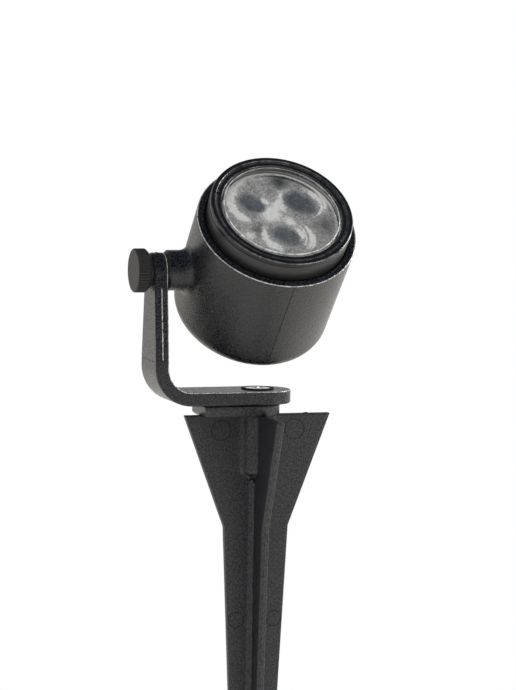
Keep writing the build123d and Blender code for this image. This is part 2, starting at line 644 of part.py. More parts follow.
def head_shell():
    """The cast cup with its trunnion, round which the head tilts."""
    outline = make_face(
        Polyline(
            (0, -SHELL_BASE_DEPTH),
            (SHELL_BASE_R, -SHELL_BASE_DEPTH),
            (SHELL_RIM_R, SHELL_RIM_HEIGHT),
            (0, SHELL_RIM_HEIGHT),
            close=True,
        )
    )
    outer = [v for v in outline.vertices() if v.X > 1]
    outline = fillet([v for v in outer if v.Y < 0], SHELL_BASE_FILLET_R)
    rim = [v for v in outline.vertices() if v.Y > SHELL_RIM_HEIGHT - 0.1 and v.X > 1]
    outline = fillet(rim, SHELL_RIM_ROUND)
    body = revolve(Plane.XZ * outline, Axis.Z)
    trunnion = Pos(-TRUNNION_REACH, 0, 0) * Rot(0, 90, 0) * ring(TRUNNION_R, 0, 0, TRUNNION_R * 2)
    trunnion = chamfer(trunnion.faces().sort_by(Axis.X)[0].edges(), TRUNNION_CHAMFER)
    body += trunnion
    wall_r = shell_wall_radius(TRUNNION_R)
    joint = [e for e in body.edges() if abs(e.center().X + wall_r) < TRUNNION_R / 4]
    body = fillet(joint, TRUNNION_FILLET_R)
    body -= shell_cavity()
    bore_depth = INSERT_SINK + TRUNNION_INSERT_LENGTH + INSERT_BORE_SPARE
    bore = ring(TRUNNION_INSERT_R + FIT_GAP, 0, 0, bore_depth)
    body -= Pos(-TRUNNION_REACH, 0, 0) * Rot(0, 90, 0) * bore
    body -= parting_line()
    body -= ring(GLAND_THREAD_R + 2 * FIT_GAP, 0, -SHELL_BASE_DEPTH - 1, FLOOR_TOP + 1)
    screw_hole = ring(MODULE_SCREW_R + MODULE_SCREW_GAP, 0, -SHELL_BASE_DEPTH - 1, FLOOR_TOP + 1)
    for x in MODULE_SCREW_XS:
        body -= Pos(x, 0, 0) * screw_hole
    return HEAD_PLACE * body


def trunnion_insert():
    """Threaded brass bush in the trunnion, which the knob's stud goes into."""
    bush = keyed_bush(TRUNNION_INSERT_R, STUD_R + RUN_GAP, TRUNNION_INSERT_LENGTH)
    return Pos(TRUNNION_END_X + INSERT_SINK, 0, PIVOT_Z) * Rot(0, 90, 0) * bush


def tilt_washer():
    """Friction washer on the trunnion's end face."""
    outer_r = TRUNNION_R - TILT_WASHER_MARGIN
    washer = ring(outer_r, STUD_R + WASHER_GAP, 0, TILT_WASHER_THICKNESS)
    return along_pivot(TRUNNION_END_X) * washer


# ---------------------------------------------------------------- lamp module
def module_can():
    """The lamp's inner can: a deck that carries the LEDs, over a room for the driver."""
    outline = make_face(
        Polyline(
            (CAN_CAVITY_R, FLOOR_TOP),
            (CAN_R, FLOOR_TOP),
            (CAN_R, CAN_TOP - JOINT_CHAMFER),
            (CAN_R - JOINT_CHAMFER, CAN_TOP),
            (CAN_LIP_R, CAN_TOP),
            (CAN_LIP_R, DECK_TOP),
            (0, DECK_TOP),
            (0, DECK_BOTTOM),
            (CAN_SHOULDER_R, DECK_BOTTOM),
            (CAN_SHOULDER_R, DRIVER_TOP),
            (CAN_CAVITY_R, DRIVER_TOP),
            close=True,
        )
    )
    foot = [v for v in outline.vertices() if v.Y < FLOOR_TOP + 0.1 and v.X > CAN_R - 0.1]
    outline = fillet(foot, CAN_FOOT_FILLET_R)
    body = revolve(Plane.XZ * outline, Axis.Z)
    groove_r = O_RING_TRACK_R - O_RING_R - O_RING_GAP
    low = O_RING_HEIGHT - O_RING_GROOVE_WIDTH / 2
    body -= ring(CAN_R + 1, groove_r, low, low + O_RING_GROOVE_WIDTH)
    hole_low = BOARD_TOP - BOARD_SCREW_LENGTH - SCREW_END_SPARE
    screw_hole = ring(BOARD_SCREW_R + FIT_GAP, 0, hole_low, DECK_TOP)
    for angle in FREE_ANGLES:
        body -= polar(BOARD_SCREW_RING_R, angle) * screw_hole
    lead_hole = ring(LEAD_R + LEAD_GAP, 0, DECK_BOTTOM - 1, DECK_TOP)
    for x in LEAD_XS:
        body -= Pos(x, LEAD_Y, 0) * lead_hole
    return HEAD_PLACE * body


def module_o_ring():
    """O-ring in the can's groove, which seals it in the shell."""
    return HEAD_PLACE * (Pos(0, 0, O_RING_HEIGHT) * Torus(O_RING_TRACK_R, O_RING_R))


def module_cover():
    """Disc that closes the can's back, with the gland's and the screws' holes."""
    body = ring(CAN_CAVITY_R - FIT_GAP, GLAND_THREAD_R + 2 * FIT_GAP, FLOOR_TOP, COVER_TOP)
    screw_hole = ring(MODULE_SCREW_R + FIT_GAP, 0, FLOOR_TOP, COVER_TOP)
    for x in MODULE_SCREW_XS:
        body -= Pos(x, 0, 0) * screw_hole
    return HEAD_PLACE * body


def module_screws():
    """Two screws through the shell's floor into the cover."""
    screw = pan_screw(MODULE_SCREW_R, MODULE_SCREW_LENGTH, MODULE_SCREW_HEAD_R, MODULE_SCREW_HEAD)
    screw = Pos(0, 0, -SHELL_BASE_DEPTH) * Rot(180, 0, 0) * screw
    return HEAD_PLACE * Compound([Pos(x, 0, 0) * screw for x in MODULE_SCREW_XS])


def bezel_ring():
    """Ring that screws into the can: a face, a skirt, and the ledge under the glass."""
    skirt_low = CAN_TOP - BEZEL_SKIRT
    skirt_r = CAN_LIP_R - FIT_GAP
    ledge_low = LEDGE_TOP - LEDGE_THICKNESS
    outline = make_face(
        Polyline(
            (BEZEL_BORE_R, ledge_low),
            (BEZEL_INNER_R, skirt_low),
            (skirt_r, skirt_low),
            (skirt_r, CAN_TOP),
            (CAN_R - JOINT_CHAMFER, CAN_TOP),
            (CAN_R, CAN_TOP + JOINT_CHAMFER),
            (CAN_R, BEZEL_TOP),
            (BEZEL_INNER_R + BEZEL_CHAMFER, BEZEL_TOP),
            (BEZEL_INNER_R, BEZEL_TOP - BEZEL_CHAMFER),
            (BEZEL_INNER_R, LEDGE_TOP),
            (BEZEL_BORE_R, LEDGE_TOP),
            close=True,
        )
    )
    edge = [v for v in outline.vertices() if v.Y > BEZEL_TOP - 0.1 and v.X > CAN_R - 0.1]
    outline = fillet(edge, BEZEL_EDGE_R)
    return HEAD_PLACE * revolve(Plane.XZ * outline, Axis.Z)


def glass_gasket():
    """Flat silicone seal between the ledge and the glass."""
    return HEAD_PLACE * ring(GLASS_R, BEZEL_BORE_R, LEDGE_TOP, GLASS_BOTTOM)


def front_glass():
    """Round toughened glass with ground edges, stepped so that its face fills the retaining ring."""
    flange_r = GLASS_R - GLASS_CHAMFER
    face = RETAINER_TOP + GLASS_FACE_PROUD
    body = turned(
        (0, GLASS_BOTTOM),
        (flange_r, GLASS_BOTTOM),
        (GLASS_R, GLASS_BOTTOM + GLASS_CHAMFER),
        (GLASS_R, GLASS_TOP - GLASS_CHAMFER),
        (flange_r, GLASS_TOP),
        (GLASS_FACE_R, GLASS_TOP),
        (GLASS_FACE_R, face - GLASS_FACE_CHAMFER),
        (GLASS_FACE_R - GLASS_FACE_CHAMFER, face),
        (0, face),
    )
    return HEAD_PLACE * body


def retaining_ring():
    """Thin ring that holds the glass down, with two notches for a spanner."""
    outer_r = BEZEL_INNER_R - FIT_GAP
    inner_r = GLASS_FACE_R + RETAINER_BORE_GAP
    body = turned(
        (inner_r, GLASS_TOP),
        (outer_r, GLASS_TOP),
        (outer_r, RETAINER_TOP),
        (inner_r + RETAINER_CHAMFER, RETAINER_TOP),
        (inner_r, RETAINER_TOP - RETAINER_CHAMFER),
    )
    notch = Box(2 * NOTCH_REACH, NOTCH_WIDTH, 2 * NOTCH_DEPTH)
    for angle in NOTCH_ANGLES:
        body -= polar(outer_r, angle, RETAINER_TOP) * Rot(0, 0, angle) * notch
    return HEAD_PLACE * body


# ---------------------------------------------------------------- light engine
def lens():
    """One lens of the optic: a cup that widens to the plate, hollow over its LED."""
    middle_r = (LENS_TOP_R + LENS_FOOT_R) / 2 + LENS_BULGE
    hollow_top = LENS_LOW + LENS_HOLLOW_DEPTH
    top = PLATE_LOW + OPTIC_PLATE / 2
    foot = (LENS_FOOT_R, LENS_LOW)
    edges = [
        Line((0, hollow_top), (LENS_HOLLOW_R, hollow_top)),
        Line((LENS_HOLLOW_R, hollow_top), (LENS_HOLLOW_R, LENS_LOW)),
        Line((LENS_HOLLOW_R, LENS_LOW), foot),
        ThreePointArc(foot, (middle_r, (LENS_LOW + PLATE_LOW) / 2), (LENS_TOP_R, PLATE_LOW)),
        Line((LENS_TOP_R, PLATE_LOW), (LENS_TOP_R, top)),
        Line((LENS_TOP_R, top), (0, top)),
        Line((0, top), (0, hollow_top)),
    ]
    return revolve(Plane.XZ * make_face(Wire(edges)), Axis.Z)


def triple_optic():
    """One moulding: a round plate, a lens under it for each LED, and posts to the board."""
    body = ring(OPTIC_R, 0, PLATE_LOW, OPTIC_TOP)
    post = ring(POST_R, 0, BOARD_TOP, PLATE_LOW + OPTIC_PLATE / 2)
    for angle in LED_ANGLES:
        body += polar(LED_RING_R, angle) * lens()
        body += polar(POST_RING_R, angle + POST_TURN) * post
    return HEAD_PLACE * body


def led_emitters():
    """The LEDs: a square base with a dome, under each lens."""
    led = Pos(0, 0, BOARD_TOP) * block((LED_BASE, LED_BASE, LED_BASE_HEIGHT))
    dome = Pos(0, 0, BOARD_TOP + LED_BASE_HEIGHT) * Sphere(LED_DOME_R)
    led += dome & ring(LED_BASE, 0, BOARD_TOP + LED_BASE_HEIGHT / 2, LENS_LOW + LENS_HOLLOW_DEPTH)
    return HEAD_PLACE * Compound([polar(LED_RING_R, angle) * led for angle in LED_ANGLES])


def led_board():
    """Round metal-core board with the screws' holes."""
    body = ring(LED_BOARD_R, 0, BOARD_BOTTOM, BOARD_TOP)
    screw_hole = ring(BOARD_SCREW_R + BOARD_HOLE_GAP, 0, BOARD_BOTTOM, BOARD_TOP)
    for angle in FREE_ANGLES:
        body -= polar(BOARD_SCREW_RING_R, angle) * screw_hole
    return HEAD_PLACE * body


def thermal_pad():
    """Soft pad that carries the LEDs' heat into the deck."""
    body = ring(LED_BOARD_R - THERMAL_PAD_MARGIN, 0, DECK_TOP, BOARD_BOTTOM)
    screw_hole = ring(BOARD_SCREW_R + BOARD_HOLE_GAP, 0, DECK_TOP, BOARD_BOTTOM)
    for angle in FREE_ANGLES:
        body -= polar(BOARD_SCREW_RING_R, angle) * screw_hole
    lead_hole = ring(LEAD_R + LEAD_GAP, 0, DECK_TOP, BOARD_BOTTOM)
    for x in LEAD_XS:
        body -= Pos(x, LEAD_Y, 0) * lead_hole
    return HEAD_PLACE * body


def board_screws():
    """Three small screws that hold the LED board down on the deck."""
    screw = pan_screw(BOARD_SCREW_R, BOARD_SCREW_LENGTH, BOARD_SCREW_HEAD_R, BOARD_SCREW_HEAD)
    places = [polar(BOARD_SCREW_RING_R, angle, BOARD_TOP) for angle in FREE_ANGLES]
    return HEAD_PLACE * Compound([place * screw for place in places])


# ---------------------------------------------------------------- driver
def driver_board():
    """Board below the can's shoulder, which carries the driver."""
    return HEAD_PLACE * ring(DRIVER_BOARD_R, 0, DRIVER_BOTTOM, DRIVER_TOP)


def driver_components():
    """Capacitor, coil, bridge and chip on the driver board."""
    capacitor = ring(CAPACITOR_R, 0, 0, CAPACITOR_HEIGHT)
    capacitor = chamfer(capacitor.edges().sort_by(Axis.Z)[-1], CAPACITOR_CHAMFER)
    coil = ring(COIL_R, COIL_BORE_R, 0, COIL_HEIGHT)
    placed = [
        polar(CAN_SHOULDER_R - CAPACITOR_INSET, CAPACITOR_ANGLE, DRIVER_TOP) * capacitor,
        polar(CAN_SHOULDER_R - COIL_INSET, COIL_ANGLE, DRIVER_TOP) * coil,
        polar(CAN_SHOULDER_R - BRIDGE_INSET, BRIDGE_ANGLE, DRIVER_TOP) * block(BRIDGE_SIZE),
        polar(CAN_SHOULDER_R - CHIP_INSET, CHIP_ANGLE, DRIVER_TOP) * block(CHIP_SIZE),
    ]
    return HEAD_PLACE * Compound(placed)


def terminal_block():
    """Screw terminal for the cable's two cores, under the driver board."""
    length, _, height = TERMINAL_SIZE
    body = block(TERMINAL_SIZE)
    for x in (-length / 4, length / 4):
        body -= Pos(x, 0, 0) * ring(TERMINAL_HOLE_R, 0, 0, TERMINAL_HOLE_DEPTH)
    place = Pos(0, DRIVER_BOARD_R - TERMINAL_INSET, DRIVER_BOTTOM - height)
    return HEAD_PLACE * place * body


def board_leads():
    """Two stiff leads from the driver board up to the LED board."""
    lead = Pos(0, LEAD_Y, 0) * ring(LEAD_R, 0, DRIVER_TOP, BOARD_BOTTOM)
    return HEAD_PLACE * Compound([Pos(x, 0, 0) * lead for x in LEAD_XS])


# ---------------------------------------------------------------- cable gland
def hexagon(across_flats, low, high):
    """A hexagonal prism about Z."""
    return Pos(0, 0, low) * extrude(RegularPolygon(across_flats / 2, 6, major_radius=False), high - low)


def gland_body():
    """Hex flange with a threaded neck each side, one through the floor, one for the cap."""
    barrel_top = LOCKNUT_TOP + BARREL_PAST_NUT
    body = hexagon(GLAND_HEX, GLAND_NECK_TOP, GLAND_FACE)
    body += ring(GLAND_THREAD_R, 0, GLAND_NECK_END, barrel_top)
    body -= ring(CABLE_R + BARREL_GAP, 0, GLAND_NECK_END, barrel_top)
    body -= ring(SEAL_R + FIT_GAP, 0, GLAND_NECK_END, SEAL_TOP)
    return HEAD_PLACE * body


def gland_washer():
    """Rubber washer between the gland's flange and the shell."""
    return HEAD_PLACE * ring(GLAND_WASHER_R, GLAND_THREAD_R + FIT_GAP, GLAND_FACE, -SHELL_BASE_DEPTH)


def gland_locknut():
    """Nut that holds the gland from inside the module."""
    nut = hexagon(GLAND_HEX, COVER_TOP, LOCKNUT_TOP)
    return HEAD_PLACE * (nut - ring(GLAND_THREAD_R + FIT_GAP, 0, COVER_TOP, LOCKNUT_TOP))


def gland_seal():
    """Rubber sleeve that grips the cable."""
    return HEAD_PLACE * ring(SEAL_R, SEAL_BORE_R, SEAL_END, SEAL_TOP)


def gland_cap():
    """Ribbed cap nut that squeezes the seal onto the cable."""
    nose_width, nose_height = CAP_NOSE_CHAMFER
    body = turned(
        (0, CAP_END),
        (CAP_R - nose_width, CAP_END),
        (CAP_R, CAP_END + nose_height),
        (CAP_R, CAP_TOP),
        (0, CAP_TOP),
    )
    groove = ring(CAP_RIB_R, 0, CAP_END + nose_height, CAP_TOP + 1)
    body -= PolarLocations(CAP_R + CAP_RIB_OUT, CAP_RIBS) * groove
    body -= ring(GLAND_THREAD_R + FIT_GAP, 0, CAP_SHOULDER, CAP_TOP)
    body -= ring(CABLE_R + CAP_MOUTH_GAP, 0, CAP_END, CAP_SHOULDER)
    return HEAD_PLACE * body


# ---------------------------------------------------------------- write
PARTS = [
    spike,
    spike_insert,
    foot_washer,
    cup_washer,
    foot_screw,
    bracket,
    knob,
    knob_stud,
    knob_washer,
    head_shell,
    trunnion_insert,
    tilt_washer,
    module_can,
    module_o_ring,
    module_cover,
    module_screws,
    bezel_ring,
    glass_gasket,
    front_glass,
    retaining_ring,
    triple_optic,
    led_emitters,
    led_board,
    thermal_pad,
    board_screws,
    driver_board,
    driver_components,
    terminal_block,
    board_leads,
    gland_body,
    gland_washer,
    gland_locknut,
    gland_seal,
    gland_cap,
]

os.makedirs("parts", exist_ok=True)
for make in PARTS:
    export_step(make(), f"parts/{make.__name__}.step")
    print("wrote", make.__name__)
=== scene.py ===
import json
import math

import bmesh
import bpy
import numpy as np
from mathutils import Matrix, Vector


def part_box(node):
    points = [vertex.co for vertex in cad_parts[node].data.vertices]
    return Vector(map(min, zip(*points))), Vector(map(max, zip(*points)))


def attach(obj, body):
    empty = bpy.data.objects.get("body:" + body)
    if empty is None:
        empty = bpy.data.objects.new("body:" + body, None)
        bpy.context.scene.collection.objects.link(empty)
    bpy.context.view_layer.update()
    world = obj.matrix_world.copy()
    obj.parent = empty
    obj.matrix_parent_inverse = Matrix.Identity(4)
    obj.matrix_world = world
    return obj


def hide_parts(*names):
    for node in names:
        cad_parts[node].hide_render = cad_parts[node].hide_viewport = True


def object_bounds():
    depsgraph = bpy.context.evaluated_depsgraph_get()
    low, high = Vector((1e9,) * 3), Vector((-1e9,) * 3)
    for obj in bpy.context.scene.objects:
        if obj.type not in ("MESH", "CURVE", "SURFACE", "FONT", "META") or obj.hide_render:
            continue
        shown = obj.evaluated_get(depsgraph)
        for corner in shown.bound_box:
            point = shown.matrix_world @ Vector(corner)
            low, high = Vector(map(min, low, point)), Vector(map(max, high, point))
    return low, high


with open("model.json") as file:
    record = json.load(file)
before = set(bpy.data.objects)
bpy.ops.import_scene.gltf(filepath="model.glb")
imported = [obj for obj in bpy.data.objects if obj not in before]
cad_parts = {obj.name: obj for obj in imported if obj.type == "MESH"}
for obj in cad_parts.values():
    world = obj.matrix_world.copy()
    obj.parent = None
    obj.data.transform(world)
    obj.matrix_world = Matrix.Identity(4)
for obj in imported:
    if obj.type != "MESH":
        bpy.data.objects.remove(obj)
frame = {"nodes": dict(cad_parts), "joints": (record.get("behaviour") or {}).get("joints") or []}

# %% [markdown]
# # Garden spike spotlight
# A round lamp head tilts on an L-shaped bracket, and the bracket turns on a spike with four
# fins. The frame holds every solid at its real size, in metres, in one shared set of axes:
# Z up, the front towards -Y, the bracket's arm on the -X side. Nothing of it is moved here.
# This lesson gives each surface its finish, and rebuilds as fine meshes the pieces whose
# looks hang on small shapes: the moulded spike, the knurled knob, the screw, the lenses, the
# glass and the two rings round it.

CAD_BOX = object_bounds()
MM = 0.001
nodes = frame["nodes"]
joints = {joint["name"]: joint for joint in frame["joints"]}
print("solids:", len(nodes), "box in mm:", [round(v / MM, 1) for corner in CAD_BOX for v in corner])

# %% [markdown]
# ## Where the head is
# The head's own axis leans towards the front, so everything in it is easier to write in its
# own axes: x across, y, and a height along the axis, counted from the pivot. One could copy
# the angle from the drawing, but it can be read off the frame: the glass is a round disc on
# that axis, so the line from the pivot to the middle of the glass is the axis.

# %% The head's axes, read from the glass
def in_mm(box):
    """The two corners of a box, from metres to millimetres."""
    return [np.array(corner) / MM for corner in box]


glass_low, glass_high = in_mm(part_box("front_glass"))
glass_middle = (glass_low + glass_high) / 2
PIVOT_Z = joints["head_tilt"]["pos_m"][2] / MM
HEAD_ORIGIN = np.array([glass_middle[0], 0.0, PIVOT_Z])
HEAD_LEAN = math.atan2(-glass_middle[1], glass_middle[2] - PIVOT_Z)
HEAD_TURN = np.array([
    [1.0, 0.0, 0.0],
    [0.0, math.cos(HEAD_LEAN), -math.sin(HEAD_LEAN)],
    [0.0, math.sin(HEAD_LEAN), math.cos(HEAD_LEAN)],
])


def from_head(points):
    """Points in the head's axes, turned about X by its lean and moved to the pivot."""
    return points @ HEAD_TURN.T + HEAD_ORIGIN


def to_head(mesh):
    """A mesh's points, moved back from the pivot and turned into the head's axes."""
    points = np.empty(len(mesh.vertices) * 3)
    mesh.vertices.foreach_get("co", points)
    return (points.reshape(-1, 3) / MM - HEAD_ORIGIN) @ HEAD_TURN


def heights(name):
    """The lowest and highest place of a CAD node along the head's axis."""
    local = to_head(nodes[name].data)
    return local[:, 2].min(), local[:, 2].max()


def radii(name):
    """The least and greatest distance of a CAD node's points from the head's axis."""
    local = to_head(nodes[name].data)
    distance = np.hypot(local[:, 0], local[:, 1])
    return distance.min(), distance.max()


print("head leans", round(math.degrees(HEAD_LEAN), 2), "degrees; glass at", heights("front_glass"))

# %% [markdown]
# ## Camera
# The photograph is taken from the left of the front and a little above, with a long lens, so
# upright edges stay nearly parallel. The camera is given the way a photographer would: where
# it aims, how far off it stands, from which side and height, and how it is rolled.

# %% The camera at the photograph's angle
CAMERA_AIM = np.array([-0.075, 0.0, 25.958])
CAMERA_DISTANCE = 1116.19
CAMERA_SIDE = math.radians(-18.299)
CAMERA_HEIGHT = math.radians(5.431)
CAMERA_ROLL = math.radians(0.966)
CAMERA_LENS = 155.6
SENSOR_LONG_SIDE = 36.0
CAMERA_CLIP = (0.05, 20.0)


def camera_matrix():
    """Right, up and back axes from side, height and roll, and the place they start from."""
    back = np.array([
        math.sin(CAMERA_SIDE) * math.cos(CAMERA_HEIGHT),
        -math.cos(CAMERA_SIDE) * math.cos(CAMERA_HEIGHT),
        math.sin(CAMERA_HEIGHT),
    ])
    level = np.cross([0.0, 0.0, 1.0], back)
    level /= np.linalg.norm(level)
    upright = np.cross(back, level)
    right = level * math.cos(CAMERA_ROLL) + upright * math.sin(CAMERA_ROLL)
    up = upright * math.cos(CAMERA_ROLL) - level * math.sin(CAMERA_ROLL)
    matrix = np.eye(4)
    matrix[:3, :3] = np.stack([right, up, back], axis=1)
    matrix[:3, 3] = (CAMERA_AIM + CAMERA_DISTANCE * back) * MM
    return Matrix(matrix.tolist())


camera_data = bpy.data.cameras.new("camera")
camera_data.lens = CAMERA_LENS
camera_data.sensor_width = SENSOR_LONG_SIDE
camera_data.clip_start, camera_data.clip_end = CAMERA_CLIP
camera = bpy.data.objects.new("camera", camera_data)
bpy.context.scene.collection.objects.link(camera)
camera.matrix_world = camera_matrix()
bpy.context.scene.camera = camera
bpy.context.scene.view_settings.view_transform = "Standard"
print("camera at", [round(v, 3) for v in camera.matrix_world.translation])

# %% [markdown]
# ## Meshes from grids of points
# Every new piece is a grid: rows of points, worked out as whole arrays, where each four
# neighbours make one face and the last column meets the first. A piece can be several grids,
# as a moulding is its body and its pad. Points that fall together at a pole are merged, so
# that each shell is closed, and then its faces are turned outwards.

# %% From grids to one closed mesh
SHARP_ANGLE = math.radians(40)
MERGE_DISTANCE = 1e-7


def cell_corners(rows, columns):
    """The four corner numbers of each cell of a grid whose last column meets the first."""
    row, column = np.mgrid[0:rows - 1, 0:columns]
    beside = (column + 1) % columns
    corners = [row * columns + column, row * columns + beside]
    corners += [(row + 1) * columns + beside, (row + 1) * columns + column]
    return np.stack(corners, axis=-1).reshape(-1, 4)


def make_piece(name, grids, body, material, sharp_angle=SHARP_ANGLE):
    """One object from grids of points in millimetres, in one material, that rides on a body."""
    points, faces, count = [], [], 0
    for grid in grids:
        rows, columns = grid.shape[:2]
        points.append(grid.reshape(-1, 3) * MM)
        faces.append(cell_corners(rows, columns) + count)
        count += rows * columns
    mesh = bpy.data.meshes.new(name)
    mesh.from_pydata(np.concatenate(points), [], np.concatenate(faces))
    shell = bmesh.new()
    shell.from_mesh(mesh)
    bmesh.ops.remove_doubles(shell, verts=shell.verts, dist=MERGE_DISTANCE)
    bmesh.ops.recalc_face_normals(shell, faces=shell.faces)
    shell.to_mesh(mesh)
    shell.free()
    mesh.polygons.foreach_set("use_smooth", np.ones(len(mesh.polygons), dtype=bool))
    mesh.set_sharp_from_angle(angle=sharp_angle)
    mesh.materials.append(material)
    piece = bpy.data.objects.new(name, mesh)
    bpy.context.scene.collection.objects.link(piece)
    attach(piece, body)
    print(name, len(mesh.polygons), "faces")
    return piece


def store(piece, label, values):
    """Keeps one value with each point of a piece, for its material to read."""
    piece.data.attributes.new(label, "FLOAT", "POINT").data.foreach_set("value", values)


def bend(start, middle, end, steps):
    """A smooth bend through three profile points: a quadratic curve, for rounded corners."""
    t = np.linspace(0, 1, steps)[:, None]
    start, middle, end = np.array(start), np.array(middle), np.array(end)
    return (1 - t) ** 2 * start + 2 * t * (1 - t) * middle + t ** 2 * end


def turned(profile, columns):
    """A profile of (radius, height) points carried round the axis."""
    angle = np.linspace(0, 2 * math.pi, columns, endpoint=False)
    radius, height = profile[:, 0][:, None], profile[:, 1][:, None]
    return np.stack([
        radius * np.cos(angle),
        radius * np.sin(angle),
        np.broadcast_to(height, (len(profile), columns)),
    ], axis=-1)


# %% [markdown]
# ## Materials as short recipes
# Each finish is one Principled shader with what makes it look real fed in: a fine grain as
# bump, a slight unevenness of colour and of gloss. All patterns read Object coordinates,
# which are metres here, so a grain of half a millimetre has a scale of about 2000. Values
# that are the same everywhere are set on the shader itself.

# %% Tools for the finishes
WHITE = (1.0, 1.0, 1.0, 1.0)


def socket_of(material, name):
    """That input of the material's Principled shader."""
    return material.node_tree.nodes["Principled BSDF"].inputs[name]


def new_material(name, color, roughness, metallic=0.0, specular=0.5):
    """A Principled material with its plain values set."""
    material = bpy.data.materials.new(name)
    material.use_nodes = True
    socket_of(material, "Base Color").default_value = (*color, 1.0)
    socket_of(material, "Roughness").default_value = roughness
    socket_of(material, "Metallic").default_value = metallic
    socket_of(material, "Specular IOR Level").default_value = specular
    return material


def node(material, kind, settings=(), **inputs):
    """A node of that kind; inputs are values or sockets to link, by name or, as i0, by number."""
    made = material.node_tree.nodes.new(kind)
    for key, value in dict(settings).items():
        setattr(made, key, value)
    for key, value in inputs.items():
        target = made.inputs[int(key[1:]) if key[1:].isdigit() else key]
        if isinstance(value, bpy.types.NodeSocket):
            material.node_tree.links.new(value, target)
        else:
            target.default_value = value
    return made


def link(material, source, target):
    """Joins an output socket to an input socket."""
    material.node_tree.links.new(source, target)


def combined(material, operation, first, second):
    """Two values taken together: their product, or the greater or lesser of them."""
    return node(material, "ShaderNodeMath", {"operation": operation}, i0=first, i1=second).outputs[0]


def mixed(material, share, start, end):
    """A colour that runs from one colour to another as the share goes from 0 to 1."""
    return node(material, "ShaderNodeMix", {"data_type": "RGBA"}, i0=share, i6=start, i7=end).outputs[2]


def mix_surface(material, share, first, second):
    """Makes the surface a mix of two shaders, all of the second where the share is 1."""
    mix = node(material, "ShaderNodeMixShader", Fac=share, i1=first.outputs[0], i2=second.outputs[0])
    link(material, mix.outputs[0], material.node_tree.nodes["Material Output"].inputs["Surface"])


def stored(material, label):
    """The value that was stored with each point under this label."""
    return node(material, "ShaderNodeAttribute", {"attribute_name": label}).outputs["Fac"]


def place(material, stretch=(1.0, 1.0, 1.0), lean=0.0):
    """Object coordinates, turned about X first and then stretched along each axis."""
    source = node(material, "ShaderNodeTexCoord").outputs["Object"]
    turn = node(material, "ShaderNodeMapping", Vector=source, Rotation=(lean, 0.0, 0.0))
    stretched = node(material, "ShaderNodeMapping", Vector=turn.outputs["Vector"], Scale=stretch)
    return stretched.outputs["Vector"]


def noise(material, scale, detail=2.0, roughness=0.5, vector=None):
    """Soft noise from 0 to 1, with a scale in waves per metre."""
    waves = {"Scale": scale, "Detail": detail, "Roughness": roughness}
    return node(material, "ShaderNodeTexNoise", Vector=vector or place(material), **waves).outputs["Fac"]


def spread(material, source, low, high, start=0.0, end=1.0):
    """Maps a value from start..end onto low..high."""
    made = node(material, "ShaderNodeMapRange", i0=source, i1=start, i2=end, i3=low, i4=high)
    return made.outputs["Result"]


def patches(material, scale, start, end, detail=2.0, roughness=0.5):
    """Noise in clearer patches: its values from start to end are spread over 0 to 1."""
    return spread(material, noise(material, scale, detail, roughness), 0.0, 1.0, start, end)


def vary_color(material, source, dark, light):
    """Base colour between two colours by a value from 0 to 1."""
    color = mixed(material, source, (*dark, 1.0), (*light, 1.0))
    link(material, color, socket_of(material, "Base Color"))


def vary_roughness(material, source, low, high):
    """Roughness between two values by a value from 0 to 1."""
    link(material, spread(material, source, low, high), socket_of(material, "Roughness"))


def emboss(material, source, depth_mm):
    """Bump of a depth in millimetres from a value from 0 to 1, on top of any bump before it."""
    normal = socket_of(material, "Normal")
    bump = node(material, "ShaderNodeBump", Height=source, Strength=1.0, Distance=depth_mm * MM)
    if normal.is_linked:
        link(material, normal.links[0].from_socket, bump.inputs["Normal"])
    link(material, bump.outputs["Normal"], normal)


def finish_with(material, *names):
    """Puts the material into every slot of the CAD nodes with these names."""
    for name in names:
        for holder in nodes[name].material_slots:
            holder.material = material


# %% [markdown]
# ## Powder coat
# The head's shell and the bracket are die castings with a textured powder coat. Its colour is
# nearly black: what one sees on it is mostly gloss, so it is light grey where it meets the eye
# at a slant, and black where it faces the eye. The grain, under a millimetre across, is bump,
# because it breaks the gloss into glints along every rounded edge. Noise of the same size in
# the colour and the roughness keeps the flat faces from looking polished.

# %% Charcoal powder coat
COAT_GRAIN = 1500
COAT_GRAIN_DEPTH = 0.20

powder_coat = new_material("charcoal_powder_coat", (0.012, 0.0125, 0.015), 0.26)
coat_grain = noise(powder_coat, COAT_GRAIN, 2.0, 0.6)
coat_spots = patches(powder_coat, COAT_GRAIN, 0.40, 0.60)
vary_color(powder_coat, coat_spots, (0.002, 0.0025, 0.005), (0.024, 0.025, 0.030))
vary_roughness(powder_coat, coat_spots, 0.26, 0.36)
emboss(powder_coat, coat_grain, COAT_GRAIN_DEPTH)
finish_with(powder_coat, "head_shell", "bracket")

# %% Painted highlights for the edges of the coat
edge_painted_highlight = new_material("painted_edge_highlight", (0.25, 0.25, 0.25), 0.3, metallic=0.35)
edge_patches = patches(edge_painted_highlight, 900, 0.34, 0.54, 3.0, 0.7)
# The light patchy colour is a painted highlight, in short broken lines along the edges.
vary_color(edge_painted_highlight, edge_patches, (0.05, 0.05, 0.052), (0.72, 0.71, 0.68))
vary_roughness(edge_painted_highlight, edge_patches, 0.36, 0.24)
emboss(edge_painted_highlight, noise(edge_painted_highlight, 1800, 2.0), 0.05)

# %% [markdown]
# ## Moulded plastic
# The spike is glass-filled nylon from a spark-eroded mould. The mould gives it an even, very
# fine grain, and the fibres leave it slightly cloudy.

# %% Grained black nylon
NYLON_GRAIN = 2000
NYLON_GRAIN_DEPTH = 0.11

